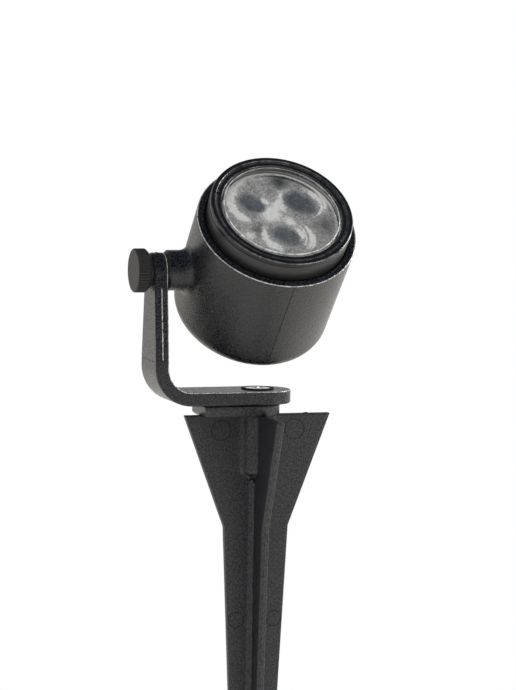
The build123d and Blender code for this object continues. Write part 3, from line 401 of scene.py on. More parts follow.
black_nylon = new_material("grained_black_nylon", (0.018, 0.018, 0.019), 0.42)
nylon_grain = noise(black_nylon, NYLON_GRAIN, 2.0, 0.65)
nylon_spots = patches(black_nylon, 0.75 * NYLON_GRAIN, 0.40, 0.60)
vary_color(black_nylon, nylon_spots, (0.003, 0.0035, 0.006), (0.038, 0.039, 0.044))
vary_roughness(black_nylon, noise(black_nylon, 200, 3.0), 0.32, 0.42)
emboss(black_nylon, nylon_grain, NYLON_GRAIN_DEPTH)
finish_with(black_nylon, "spike", "gland_body", "gland_locknut", "gland_cap")

# %% [markdown]
# ## Anodised aluminium
# The can and the bezel are turned on a lathe and anodised grey-black, so they shine softly
# in a band along the axis. Turning leaves lines round the axis. They could be drawn by the
# angle round it, but lines that change only with the height along the leaning axis look the
# same on a turned wall, and need no more than a lean of the coordinates.

# %% Satin anodising, with the lathe's lines
def anodised(name, dark, light, roughness):
    """A dark satin metal with fine turning lines that change along the head's axis."""
    material = new_material(name, light, roughness, metallic=0.75)
    lines = noise(material, 1.0, 3.0, 0.7, place(material, (30.0, 30.0, 7000.0), -HEAD_LEAN))
    vary_color(material, noise(material, 400), dark, light)
    vary_roughness(material, lines, roughness - 0.04, roughness + 0.06)
    emboss(material, lines, 0.0008)
    return material


anodised_can = anodised("grey_anodised_can", (0.042, 0.042, 0.044), (0.062, 0.063, 0.065), 0.36)
anodised_bezel = anodised("black_anodised_bezel", (0.020, 0.020, 0.022), (0.032, 0.032, 0.034), 0.22)
finish_with(anodised_can, "module_can")

# %% Painted highlights on the bezel's turned edges
# A light grey painted into the bezel's colour near its top edges stands in for the glint on them, broken
# into short lines by noise.
BEZEL_EDGE_HIGHLIGHT = (0.42, 0.42, 0.41, 1.0)

edge_here = stored(anodised_bezel, "edge")
bezel_highlight_breaks = spread(anodised_bezel, noise(anodised_bezel, 330, 3.0, 0.7), 0.25, 1.0, 0.38, 0.62)
bezel_highlight_share = combined(anodised_bezel, "MULTIPLY", edge_here, bezel_highlight_breaks)
bezel_color = socket_of(anodised_bezel, "Base Color")
bezel_color_with_highlight = mixed(anodised_bezel, bezel_highlight_share, bezel_color.links[0].from_socket, BEZEL_EDGE_HIGHLIGHT)
link(anodised_bezel, bezel_color_with_highlight, bezel_color)

# %% [markdown]
# ## Small metal, rubber and boards
# These are mostly inside, and show through the glass, past the bracket or from behind. They
# get the same care: a plated screw has faint rolling marks, rubber is dull and dusty. Each
# recipe ends with the names of the CAD nodes that wear it.

# %% Plated, blackened, bare and brass
def small_metal(name, dark, light, roughness, *names, metallic=1.0, specular=0.5):
    """A metal with faint stains and scratches, put on the CAD nodes named last."""
    material = new_material(name, light, roughness, metallic, specular)
    vary_color(material, noise(material, 900, 3.0), dark, light)
    vary_roughness(material, noise(material, 2500, 2.0), roughness - 0.06, roughness + 0.1)
    emboss(material, noise(material, 5000, 2.0), 0.006)
    finish_with(material, *names)
    return material


bright_steel = small_metal("bright_plated_steel", (0.62, 0.62, 0.63), (0.78, 0.78, 0.79), 0.2,
                           "module_screws", "board_screws", "knob_stud", "board_leads")
small_metal("blackened_steel", (0.006, 0.006, 0.007), (0.014, 0.014, 0.015), 0.62,
            "cup_washer", metallic=0.0, specular=0.15)
small_metal("turned_aluminium", (0.52, 0.52, 0.53), (0.66, 0.66, 0.67), 0.34, "module_cover")
small_metal("turned_brass", (0.62, 0.42, 0.16), (0.78, 0.56, 0.24), 0.28,
            "spike_insert", "trunnion_insert")
knob_metal = small_metal("grey_knob", (0.018, 0.018, 0.0185), (0.040, 0.040, 0.040), 0.48,
                         metallic=0.0, specular=0.32)
emboss(knob_metal, noise(knob_metal, 1700, 2.0, 0.6), 0.14)


# %% Rubber, fibre, nylon washers and boards
def dull(name, dark, light, roughness, grain_scale, grain_depth, *names, specular=0.5):
    """A non-metal with an uneven colour and a grain, put on the CAD nodes named last."""
    material = new_material(name, light, roughness, specular=specular)
    vary_color(material, noise(material, grain_scale / 8, 3.0), dark, light)
    vary_roughness(material, noise(material, grain_scale / 3), roughness - 0.05, roughness + 0.05)
    emboss(material, noise(material, grain_scale, 2.0), grain_depth)
    finish_with(material, *names)
    return material


dull("black_rubber", (0.014, 0.014, 0.014), (0.028, 0.027, 0.026), 0.72, 2600, 0.03,
     "module_o_ring", "gland_washer", "gland_seal")
dull("dark_washer_nylon", (0.016, 0.016, 0.017), (0.030, 0.030, 0.031), 0.5, 3200, 0.01,
     "knob_washer", "tilt_washer")
dull("dark_fibre", (0.020, 0.018, 0.016), (0.045, 0.040, 0.034), 0.8, 2200, 0.04, "foot_washer")
dull("white_solder_mask", (0.70, 0.70, 0.68), (0.80, 0.80, 0.78), 0.35, 1500, 0.01, "led_board")
dull("green_solder_mask", (0.010, 0.070, 0.026), (0.018, 0.110, 0.040), 0.35, 1500, 0.01, "driver_board")
dull("grey_silicone_pad", (0.17, 0.18, 0.20), (0.23, 0.24, 0.26), 0.65, 2500, 0.02, "thermal_pad")
dull("milky_silicone", (0.62, 0.62, 0.60), (0.80, 0.80, 0.77), 0.5, 2500, 0.02, "glass_gasket")
dull("dark_component_cases", (0.012, 0.012, 0.013), (0.026, 0.026, 0.028), 0.45, 2600, 0.01,
     "driver_components")
dull("green_terminal", (0.012, 0.085, 0.020), (0.020, 0.130, 0.034), 0.42, 2600, 0.01, "terminal_block")
dull("yellow_phosphor", (0.62, 0.44, 0.06), (0.80, 0.62, 0.14), 0.4, 2600, 0.01, "led_emitters")

# %% [markdown]
# ## The bezel and the ring that holds the glass
# Seen from a step away these two dark rings are a few thin lines of light, one on every
# turned edge. Chamfers alone are too sharp for that: it is the small round of a real edge
# that catches the lamp. So each ring is a closed profile with rounded corners, turned round
# the head's axis. The notches for the spanner are cut by sinking the points of the face that
# lie near their bearings.

# %% Rounded profiles
BEZEL_LOW, BEZEL_TOP = heights("bezel_ring")
RETAINER_LOW, RETAINER_TOP = heights("retaining_ring")
BORE_R, BEZEL_R = radii("bezel_ring")
RETAINER_BORE_R, RETAINER_R = radii("retaining_ring")
GLASS_FLANGE_R = radii("front_glass")[1]
RING_GAP = 0.03
BEZEL_INNER_R = RETAINER_R + RING_GAP
JOINT_HEIGHT = heights("module_can")[1]
LEDGE_TOP = heights("glass_gasket")[0]
SKIRT_STEP = 1.03
SKIRT_R = BEZEL_R - SKIRT_STEP
ROUND_STEPS = 7
RING_COLUMNS = 360
print("bezel radii", round(BORE_R, 2), round(BEZEL_R, 2), "retainer", round(RETAINER_BORE_R, 2))


def rounded(corners):
    """A closed profile from (radius, height, rounding) corners: each corner is a bend between
    the two points that lie its rounding away along the sides."""
    tip, size = np.array(corners)[:, :2], np.array(corners)[:, 2:]
    before = np.roll(tip, 1, axis=0) - tip
    after = np.roll(tip, -1, axis=0) - tip
    start = tip + before / np.linalg.norm(before, axis=1, keepdims=True) * size
    end = tip + after / np.linalg.norm(after, axis=1, keepdims=True) * size
    profile = np.concatenate([bend(a, m, b, ROUND_STEPS) for a, m, b in zip(start, tip, end)])
    return np.concatenate([profile, profile[:1]])


def mark_edges(piece, corners, width):
    """Stores with each point how near it lies to one of the (radius, height) corners, where the bezel's
    material paints its edge highlight.
    """
    local = to_head(piece.data)
    away = np.hypot(local[:, 0], local[:, 1])[:, None] - np.array(corners)[:, 0]
    up = local[:, 2:] - np.array(corners)[:, 1]
    store(piece, "edge", np.exp(-(np.hypot(away, up).min(axis=1) / width) ** 2))


bezel_profile = rounded([
    (BORE_R, LEDGE_TOP - 1.0, 0.1),
    (BEZEL_INNER_R, BEZEL_LOW, 0.05),
    (SKIRT_R, BEZEL_LOW, 0.1),
    (SKIRT_R, JOINT_HEIGHT, 0.05),
    (BEZEL_R - 0.2, JOINT_HEIGHT, 0.02),
    (BEZEL_R, JOINT_HEIGHT + 0.2, 0.08),
    (BEZEL_R, BEZEL_TOP, 0.75),
    (BEZEL_INNER_R, BEZEL_TOP, 0.36),
    (BEZEL_INNER_R, LEDGE_TOP, 0.05),
    (BORE_R, LEDGE_TOP, 0.1),
])
bezel_grid = from_head(turned(bezel_profile, RING_COLUMNS))
bezel = make_piece("turned_bezel", [bezel_grid], "head", anodised_bezel)
mark_edges(bezel, [(BEZEL_INNER_R, BEZEL_TOP), (BEZEL_R - 0.1, BEZEL_TOP - 0.1)], 0.26)
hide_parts("bezel_ring")

# %% The retaining ring with its two notches
NOTCH_BEARINGS = np.radians([158.0, 320.0])
NOTCH_HALF = 0.8
NOTCH_WALL = 0.08
NOTCH_REACH = 1.0
NOTCH_DEPTH = 0.4


def retainer_grid():
    """The rounded profile turned round; near a notch the outer points of the face sink."""
    profile = rounded([
        (RETAINER_BORE_R, RETAINER_LOW, 0.05),
        (RETAINER_R, RETAINER_LOW, 0.05),
        (RETAINER_R, RETAINER_TOP, 0.12),
        (RETAINER_R - NOTCH_REACH, RETAINER_TOP, 0.01),
        (RETAINER_R - NOTCH_REACH - 0.05, RETAINER_TOP, 0.01),
        (RETAINER_BORE_R, RETAINER_TOP, 0.34),
    ])
    grid = turned(profile, 4 * RING_COLUMNS)
    bearing = np.arctan2(grid[..., 1], grid[..., 0])[..., None]
    off = np.abs((bearing - NOTCH_BEARINGS + np.pi) % (2 * np.pi) - np.pi).min(axis=-1)
    across = np.clip((NOTCH_HALF - off * RETAINER_R) / NOTCH_WALL, 0, 1)
    outer = profile[:, :1] > RETAINER_R - NOTCH_REACH - 0.03
    floor_height = np.minimum(grid[..., 2], RETAINER_TOP - NOTCH_DEPTH)
    grid[..., 2] = np.where(outer, grid[..., 2] + (floor_height - grid[..., 2]) * across, grid[..., 2])
    return from_head(grid)


retainer = make_piece("notched_retainer", [retainer_grid()], "head", anodised_bezel)
mark_edges(retainer, [(RETAINER_BORE_R, RETAINER_TOP), (RETAINER_R, RETAINER_TOP)], 0.24)
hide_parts("retaining_ring")

# %% [markdown]
# ## Front glass
# A clear pane needs no bending of light here: what matters is that the lenses show through
# it, that lamps reach them, and that it mirrors a little, more at a slant. So it is a mix of
# Transparent and a sharp gloss, shared out by Fresnel. A glass shader would do the bending,
# but would also throw a dark shadow on the lenses. Its edge is ground, so it scatters light
# like frost and draws the bright line round the face. That takes a finish of its own, on a
# thin skin over the edge.

# %% Stepped pane
GLASS_LOW, GLASS_FACE = heights("front_glass")
GLASS_STEP = 0.7
GLASS_FACE_R = RETAINER_BORE_R - GLASS_STEP
FLANGE_CHAMFER = 0.2
GROUND_WIDTH = 0.4
GROUND_CORNER = 0.05


def ground_bend(out=0.0):
    """The ground edge of the face as a bend, moved outwards by the thickness of a skin."""
    return bend((GLASS_FACE_R + out, GLASS_FACE - GROUND_WIDTH),
                (GLASS_FACE_R - GROUND_CORNER + out, GLASS_FACE - GROUND_CORNER + out),
                (GLASS_FACE_R - GROUND_WIDTH, GLASS_FACE + out), 6)[1:]


glass_profile = np.concatenate([
    [(0, GLASS_LOW), (GLASS_FLANGE_R - FLANGE_CHAMFER, GLASS_LOW)],
    [(GLASS_FLANGE_R, GLASS_LOW + FLANGE_CHAMFER), (GLASS_FLANGE_R, RETAINER_LOW - FLANGE_CHAMFER)],
    [(GLASS_FLANGE_R - FLANGE_CHAMFER, RETAINER_LOW)],
    [(GLASS_FACE_R, RETAINER_LOW), (GLASS_FACE_R, GLASS_FACE - GROUND_WIDTH)],
    ground_bend(),
    [(GLASS_FACE_R - GROUND_WIDTH - 0.01, GLASS_FACE), (0, GLASS_FACE)],
])
front_glass = new_material("clear_front_glass", (0.86, 0.86, 0.84), 0.5)
see_through = node(front_glass, "ShaderNodeBsdfTransparent", Color=(0.985, 0.985, 0.985, 1.0))
gloss = node(front_glass, "ShaderNodeBsdfGlossy", Color=WHITE, Roughness=0.03)
slant = node(front_glass, "ShaderNodeFresnel", IOR=1.3)
mix_surface(front_glass, slant.outputs[0], see_through, gloss)
glass_grid = from_head(turned(glass_profile, RING_COLUMNS))
pane_piece = make_piece("stepped_front_glass", [glass_grid], "head", front_glass)
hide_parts("front_glass")

# %% The ground edge, a skin a hundredth of a millimetre thick
SKIN = 0.012
SKIN_FOOT = RETAINER_LOW + 0.05

ground_out = np.concatenate([
    [(GLASS_FACE_R + SKIN, SKIN_FOOT), (GLASS_FACE_R + SKIN, GLASS_FACE - GROUND_WIDTH)],
    ground_bend(SKIN),
])
ground_in = np.array([(GLASS_FACE_R - GROUND_WIDTH, GLASS_FACE - 0.05), (GLASS_FACE_R - 0.3, SKIN_FOOT)])
ground_profile = np.concatenate([ground_out, ground_in, ground_out[:1]])
ground_edge = new_material("ground_glass_edge", (0.86, 0.86, 0.84), 0.5)
ground_patches = patches(ground_edge, 260, 0.38, 0.62, 3.0, 0.7)
vary_color(ground_edge, ground_patches, (0.30, 0.30, 0.30), (0.92, 0.92, 0.89))
vary_roughness(ground_edge, ground_patches, 0.5, 0.3)
emboss(ground_edge, noise(ground_edge, 2400, 2.0), 0.02)
ground_grid = from_head(turned(ground_profile, RING_COLUMNS))
ground_ring = make_piece("ground_glass_edge", [ground_grid], "head", ground_edge)

# %% [markdown]
# ## The spike
# One moulding: four fins that flare at the top, a round boss for the screw that runs out
# into a slim core, fillets wherever a fin meets them, and a D-shaped pad. It could be
# extruded and cut, but then every edge would be knife sharp, and the light on a black
# moulding lives on its rounded edges. So one cross-section loop is carried down the axis,
# and its reach, core and fillets change with the height.

# %% The spike's measures
spike_low, spike_high = in_mm(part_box("spike"))
FIN_REACH = spike_high[0]
SPIKE_TIP = spike_low[2]
PAD_TOP = spike_high[2]
FIN_HALF = 1.4
FIN_EDGE_R = 0.45
TOP_EDGE_R = 0.3
REACH_HEIGHTS = np.array([SPIKE_TIP, -168.0, -42.3, 0.0])
REACHES = np.array([0.8, 6.6, 12.6, FIN_REACH + 0.3])
CORE_R = 3.2
CORE_FILLET = 0.9
BOSS_R = 6.1
BOSS_FILLET = 2.2
BOSS_HEIGHTS = np.array([-25.6, -24.2, -23.2, -22.6, -22.0, -21.2, -20.0])
BOSS_SHARES = np.array([0.0, 0.06, 0.26, 0.56, 0.84, 0.97, 1.0])
PARTING_PROUD = 0.12
PARTING_HALF = 0.16
TIP_HALF, HALF_GROWTH = 0.45, 0.08
TIP_CORE, CORE_GROWTH = 0.62, 0.14
TIP_FILLET, FILLET_GROWTH = 0.1, 0.05
QUARTER_TURN = np.array([[0, 1], [-1, 0]])


def fin_quarter(reach, core, fillet, half, edge):
    """From the diagonal between two fins to the middle of a fin's end: an arc of the core,
    the fillet's arc, the fin's side, its rounded edge and its end with a parting ridge.
    Each argument has one value a row; the result has rows by points by (x, y)."""
    rows = len(reach)
    column = lambda values: np.asarray(values)[:, None]
    reach, core, fillet, half, edge = map(column, (reach, core, fillet, half, edge))
    fillet_x = np.sqrt(np.maximum((core + fillet) ** 2 - (half + fillet) ** 2, 0))
    touch = np.arctan2(half + fillet, fillet_x)
    on_core = np.pi / 4 + (touch - np.pi / 4) * np.linspace(0, 1, 4)[None, :-1]
    parts = [(core * np.cos(on_core), core * np.sin(on_core))]
    turn = (touch + np.pi) + (1.5 * np.pi - touch - np.pi) * np.linspace(0, 1, 7)[None, :-1]
    parts.append((fillet_x + fillet * np.cos(turn), half + fillet + fillet * np.sin(turn)))
    along = np.linspace(0, 1, 9)[None, :-1]
    parts.append((fillet_x + (reach - edge - fillet_x) * along, half + 0 * along))
    corner = np.linspace(np.pi / 2, 0, 6)[None, :]
    parts.append((reach - edge + edge * np.cos(corner), half - edge + edge * np.sin(corner)))
    across = np.array([[2.2, 1.3, 0.8, 0.0]]) * PARTING_HALF
    proud = np.array([[0.0, 0.15, 0.8, 1.0]]) * PARTING_PROUD
    parts.append((reach + proud * (half > 1.3), np.minimum(across, half - edge)))
    x = np.concatenate([np.broadcast_to(p[0], (rows, p[0].shape[1])) for p in parts], axis=1)
    y = np.concatenate([np.broadcast_to(p[1], (rows, p[1].shape[1])) for p in parts], axis=1)
    return np.stack([x, y], axis=-1)


def cross_loop(quarter):
    """The whole loop: the quarter, mirrored across the fin, and turned to the four fins."""
    mirrored = quarter * np.array([1.0, -1.0])
    loops = [np.concatenate([mirrored, quarter[:, -2:0:-1]], axis=1)]
    for _ in range(3):
        loops.append(loops[-1] @ QUARTER_TURN)
    return np.concatenate(loops, axis=1)


# %% The fins, core and boss
def spike_rows():
    """Heights from the top down: close together at the rounded top edge and at the boss's end."""
    rounding = TOP_EDGE_R * (np.sin(np.linspace(0, np.pi / 2, 5)) - 1)
    flare = np.linspace(-1.0, -19.0, 14)
    shoulder = np.linspace(-20.0, -25.6, 29)
    lower = np.concatenate([np.linspace(-27, -42.0, 8), np.linspace(-42.6, -167, 40)])
    point = np.linspace(-168.4, SPIKE_TIP, 16)
    return np.concatenate([rounding[::-1], flare, shoulder, lower, point])


def spike_body():
    """The cross-section at each row, with its sizes worked out from the row's height. Towards
    the tip each size is held down to what has grown from the tip so far."""
    z = spike_rows()
    above_tip = z - SPIKE_TIP
    inset = TOP_EDGE_R - np.sqrt(np.maximum(TOP_EDGE_R ** 2 - np.maximum(z + TOP_EDGE_R, 0) ** 2, 0))
    reach = np.interp(z, REACH_HEIGHTS, REACHES)
    share = np.interp(z, BOSS_HEIGHTS, BOSS_SHARES)
    half = np.minimum(FIN_HALF, TIP_HALF + above_tip * HALF_GROWTH)
    core = np.minimum(CORE_R + (BOSS_R - CORE_R) * share, TIP_CORE + above_tip * CORE_GROWTH)
    fillet = CORE_FILLET + (BOSS_FILLET - CORE_FILLET) * share
    fillet = np.minimum(fillet, TIP_FILLET + above_tip * FILLET_GROWTH)
    edge = np.minimum(FIN_EDGE_R, half * 0.5)
    loop = cross_loop(fin_quarter(reach - inset, core - inset, fillet, half - inset, edge - 0.5 * inset))
    height = np.broadcast_to(z[:, None, None], (*loop.shape[:2], 1))
    rows = np.concatenate([loop, height], axis=2)
    on_axis = np.array([0.0, 0.0, 1.0])
    return np.concatenate([rows[:1] * on_axis, rows, rows[-1:] * on_axis])


fin_grid = spike_body()
print("spike rows and points:", fin_grid.shape[:2])

# %% The pad, the gate's stub and the ejectors' marks
PAD_HALF = 8.4
PAD_REACH = 22.9
PAD_CHAMFER = 0.6
PAD_ROUND = 0.25
GATE_PLACE = np.array([19.2, 0.0, -0.05])
EJECTORS = ((14.4, -5.8, 3.8), (7.4, -77.7, 2.9))
DOME_R, DOME_HALF = 1.25, 1.1
DOME_Z = -24.9


def pad_loop(inset):
    """A D in plan: a half circle round the axis and a square end towards the arm."""
    half, reach = PAD_HALF - inset, PAD_REACH - inset
    angle = np.linspace(-np.pi / 2, np.pi / 2, 49)
    arc = np.stack([half * np.cos(angle), half * np.sin(angle)], axis=-1)
    back = np.stack([np.linspace(0, -reach, 8)[1:], np.full(7, half)], axis=-1)
    end = np.stack([np.full(7, -reach), np.linspace(half, -half, 9)[1:-1]], axis=-1)
    return np.concatenate([arc, back, end, back[::-1] * np.array([1.0, -1.0])])


def pad_grid():
    """The D carried up: buried foot, chamfer, wall, rounded top edge, closed in the middle."""
    wall_top = PAD_TOP - PAD_ROUND
    profile = [(PAD_CHAMFER + 0.3, -0.3), (PAD_CHAMFER, 0.0), (0.0, PAD_CHAMFER), (0.0, wall_top)]
    profile += list(bend((0.0, wall_top), (0.0, PAD_TOP), (PAD_ROUND, PAD_TOP), 5)[1:])
    loops = np.stack([np.c_[pad_loop(inset), np.full(len(pad_loop(inset)), z)] for inset, z in profile])
    middle = np.array([-PAD_REACH / 3, 0.0, 0.0])
    low = loops[:1] * [0, 0, 1] + middle
    top = loops[-1:] * [0, 0, 1] + middle
    return np.concatenate([low, loops, top])


def ejector_mark(distance, depth, radius, turn):
    """A thin raised ring on a fin's face, as the edge of an ejector pin leaves it."""
    rim = np.array([
        (radius + 0.10, -0.3), (radius + 0.10, 0.01), (radius + 0.04, 0.04),
        (radius - 0.04, 0.04), (radius - 0.10, 0.01), (radius - 0.10, -0.3), (radius + 0.10, -0.3),
    ])
    ring = turned(rim, 64)
    side = np.stack([ring[..., 0] + distance, -FIN_HALF - ring[..., 2], ring[..., 1] + depth], axis=-1)
    cos, sin = round(math.cos(turn)), round(math.sin(turn))
    return side @ np.array([[cos, sin, 0], [-sin, cos, 0], [0, 0, 1]])


def core_dome(turn):
    """A round bump on the core, just below the boss's end."""
    angle = np.linspace(-np.pi / 2, np.pi / 2, 9)
    ball = turned(np.column_stack([DOME_R * np.cos(angle), DOME_HALF * np.sin(angle)]), 24)
    return ball + np.array([CORE_R * np.cos(turn), CORE_R * np.sin(turn), DOME_Z])


def gate_stub():
    """The torn stub of the moulding gate: a low dome, longer than wide, with a lopsided top."""
    profile = [(1.0, -0.3), (1.0, 0.0), (0.92, 0.16), (0.7, 0.26), (0.35, 0.28), (0, 0.24)]
    dome = turned(np.array(profile), 40)
    lean = 1.0 + 0.35 * np.sin(3.1 * dome[..., 0] + 1.0)
    stretched = np.stack([dome[..., 0] * 1.35, dome[..., 1] * 0.7, dome[..., 2] * lean], axis=-1)
    return stretched + GATE_PLACE


spike_grids = [fin_grid, pad_grid(), gate_stub()]
spike_grids += [core_dome(turn) for turn in np.pi / 4 + np.pi / 2 * np.arange(4)]
spike = make_piece("moulded_spike", spike_grids, "ground_spike", black_nylon, math.radians(50))
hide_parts("spike")

# The ejector rings are coloured near black with almost no gloss: a painted shadow line round each ring.
painted_shadow_line = dull("painted_shadow_ring", (0.003, 0.003, 0.004), (0.012, 0.012, 0.014), 0.7, 2000, 0.02,
                 specular=0.05)
marks = []
for half_turn in (0.0, math.pi):
    for distance, depth, radius in EJECTORS:
        for side in (-distance, distance):
            marks.append(ejector_mark(side, depth, radius, half_turn))
mark_rings = make_piece("ejector_marks", marks, "ground_spike", painted_shadow_line)

# %% [markdown]
# ## The arm's ridge
# Along the middle of the arm's edge runs the ridge that the two halves of the casting die
# leave. It is little more than a millimetre wide, but its slanted flank turns towards the
# light on the right, so it shows as a thin bright line down the dark edge. It is a low
# roof-shaped profile carried along the arm's outline: up one side, over the top and down.

# %% Ridge carried round the arm
arm_low = in_mm(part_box("bracket"))[0]
ARM_THICKNESS = 5.1
ARM_MIDDLE_X = arm_low[0] + ARM_THICKNESS / 2
ARM_HALF = 10.05
ARM_TOP_R = 6.6
TAPER_Z = 21.2
RIDGE_HALF = 0.62
RIDGE_PROUD = 0.30


def arm_path():
    """Points along the arm's edge and the directions out of it: a straight side, the round
    top's arc and the other side. A side touches the arc where it is square to its radius."""
    drop = TAPER_Z - PIVOT_Z
    reach = math.hypot(ARM_HALF, drop)
    touch = math.atan2(drop, ARM_HALF) + math.acos(ARM_TOP_R / reach)
    angle = np.linspace(touch, math.pi - touch, 49)
    arc = np.stack([ARM_TOP_R * np.cos(angle), PIVOT_Z + ARM_TOP_R * np.sin(angle)], axis=-1)
    share = np.linspace(0, 1, 40)[:-1, None]
    start = np.array([ARM_HALF, TAPER_Z])
    side = start + (arc[0] - start) * share
    path = np.concatenate([side, arc, side[::-1] * np.array([-1.0, 1.0])])
    outward = np.concatenate([np.full(len(side), angle[0]), angle, np.full(len(side), angle[-1])])
    return path, np.stack([np.cos(outward), np.sin(outward)], axis=-1)


def ridge_grid():
    """The roof profile at each point of the path, with its feet sunk a little into the arm."""
    across = np.array([0.0, -1.0, -0.55, -0.16, 0.0, 0.16, 0.55, 1.0]) * RIDGE_HALF
    proud = np.array([-0.6, -0.12, 0.30, 0.93, 1.0, 0.93, 0.30, -0.12]) * RIDGE_PROUD
    path, outward = arm_path()
    ends = np.array([0, *range(len(path)), len(path) - 1])
    above = np.clip((path[ends][:, 1] - PIVOT_Z) / ARM_TOP_R, 0, 1)[:, None]
    height = np.where(proud > 0, proud * (1 - 1.1 * above), proud)
    height[[0, -1]] = proud[0]
    width = np.broadcast_to(across, height.shape).copy()
    width[[0, -1]] = 0.0
    edge = path[ends][:, None, :] + outward[ends][:, None, :] * height[..., None]
    return np.concatenate([(ARM_MIDDLE_X + width)[..., None], edge], axis=-1)


ridge = make_piece("arm_ridge", [ridge_grid()], "bracket", powder_coat, math.radians(60))

# %% [markdown]
# ## Painted highlights on the edges
# The bright lines, broken short, along the inner edges of the bracket, its ridge and the rim
# of the shell are glints on their small rounds, and here they are painted. Painting them into
# the coat's recipe would need the edges' places there; a bead half a millimetre thick, sunk
# into the rounded edge, follows them exactly, and its colour is the painted highlight.

# %% Beads along a path
BEAD_R = 0.23
BEAD_SIDES = 10
BEAD_INSET = 0.28
FOOT_BOTTOM = arm_low[2]
BEND_OUTER_R = 14.2
FOOT_END_X = 2.5
SHELL_RIM_R = 30.1
SHELL_RIM_HEIGHT = 24.0


def bead(path, face_normal, radius, closed):
    """A round bead along a path: at each point a circle square to the path. An open bead
    ends in points, and a closed one repeats its first circle."""
    if closed:
        along = np.roll(path, -1, axis=0) - np.roll(path, 1, axis=0)
    else:
        along = np.gradient(path, axis=0)
    along /= np.linalg.norm(along, axis=1, keepdims=True)
    sideways = np.cross(along, face_normal)
    around = np.linspace(0, 2 * np.pi, BEAD_SIDES, endpoint=False)[None, :, None]
    ring = np.cos(around) * face_normal[:, None] + np.sin(around) * sideways[:, None]
    size = np.full((len(path), 1, 1), radius)
    if not closed:
        size[[0, -1]] = 0.0
    grid = path[:, None] + size * ring
    return np.concatenate([grid, grid[:1]]) if closed else grid


def inner_edge():
    """The closed edge of the bracket's inner face: over the arm's top, down, round the bend,
    along the foot, round its end and back; with the face's normal at each point."""
    arm, outward = arm_path()
    arm = arm - outward * BEAD_INSET
    face_x = ARM_MIDDLE_X + ARM_THICKNESS / 2 - BEAD_INSET
    over = np.column_stack([np.full(len(arm), face_x), arm])
    bend_z = FOOT_BOTTOM + BEND_OUTER_R
    bend_x = arm_low[0] + BEND_OUTER_R
    bend_r = BEND_OUTER_R - ARM_THICKNESS + BEAD_INSET
    half = ARM_HALF - BEAD_INSET
    turn = np.linspace(math.pi, 1.5 * math.pi, 30)
    down_x, down_z = bend_x + bend_r * np.cos(turn), bend_z + bend_r * np.sin(turn)
    down = np.column_stack([down_x, np.full(30, -half), down_z])
    down_normal = -np.column_stack([np.cos(turn), np.zeros(30), np.sin(turn)])
    round_end = np.linspace(-math.pi / 2, math.pi / 2, 40)
    end_x, end_y = FOOT_END_X + half * np.cos(round_end), half * np.sin(round_end)
    end = np.column_stack([end_x, end_y, np.full(40, bend_z - bend_r)])
    back = down[::-1] * np.array([1.0, -1.0, 1.0])
    path = np.concatenate([over, down, end, back])
    normal = np.concatenate([
        np.tile([1.0, 0.0, 0.0], (len(over), 1)), down_normal,
        np.tile([0.0, 0.0, 1.0], (len(end), 1)), down_normal[::-1],
    ])
    return path, normal


def ridge_crest(sign):
    """The crest of the ridge on the front or the back of the arm, up to its round top."""
    arm, outward = arm_path()
    side = (arm[:, 0] * sign > 0) & (arm[:, 1] < PIVOT_Z - 5)
    crest = (arm + outward * (RIDGE_PROUD - 0.12))[side]
    path = np.column_stack([np.full(len(crest), ARM_MIDDLE_X), crest])
    return path, np.tile([1.0, 0.0, 0.0], (len(path), 1))


# The beads carry the painted edge highlight.
edge_grids = [bead(*inner_edge(), BEAD_R, True)]
edge_grids += [bead(*ridge_crest(sign), BEAD_R, False) for sign in (-1, 1)]
bracket_edges = make_piece("bracket_painted_edge_highlights", edge_grids, "bracket", edge_painted_highlight)

rim_turn = np.linspace(0, 2 * np.pi, BEAD_SIDES + 1)
rim_profile = np.column_stack([
    SHELL_RIM_R - BEAD_INSET + BEAD_R * np.cos(rim_turn),
    SHELL_RIM_HEIGHT - BEAD_INSET + BEAD_R * np.sin(rim_turn),
])
rim_grid = from_head(turned(rim_profile, RING_COLUMNS))
shell_edge = make_piece("shell_rim_painted_highlight", [rim_grid], "head", edge_painted_highlight)

# %% [markdown]
# ## The thumb knob
# A turned knob with a straight-ribbed rim. Ribs could be painted as bump, but they show at
# the outline, so they are real: the radius dips by a small round groove at each of 48 even
# steps round the rim. Where the profile's chamfers are narrower than the groove they win,
# just as on a part that was turned first and knurled after.

# %% Knurled knob
knob_low, knob_high = in_mm(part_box("knob"))
KNOB_R = (knob_high[2] - knob_low[2]) / 2
KNOB_LENGTH = knob_high[0] - knob_low[0]
RIBS = 48
RIB_STEPS = 12
GROOVE_DEPTH = 0.36
GROOVE_HALF = 0.34


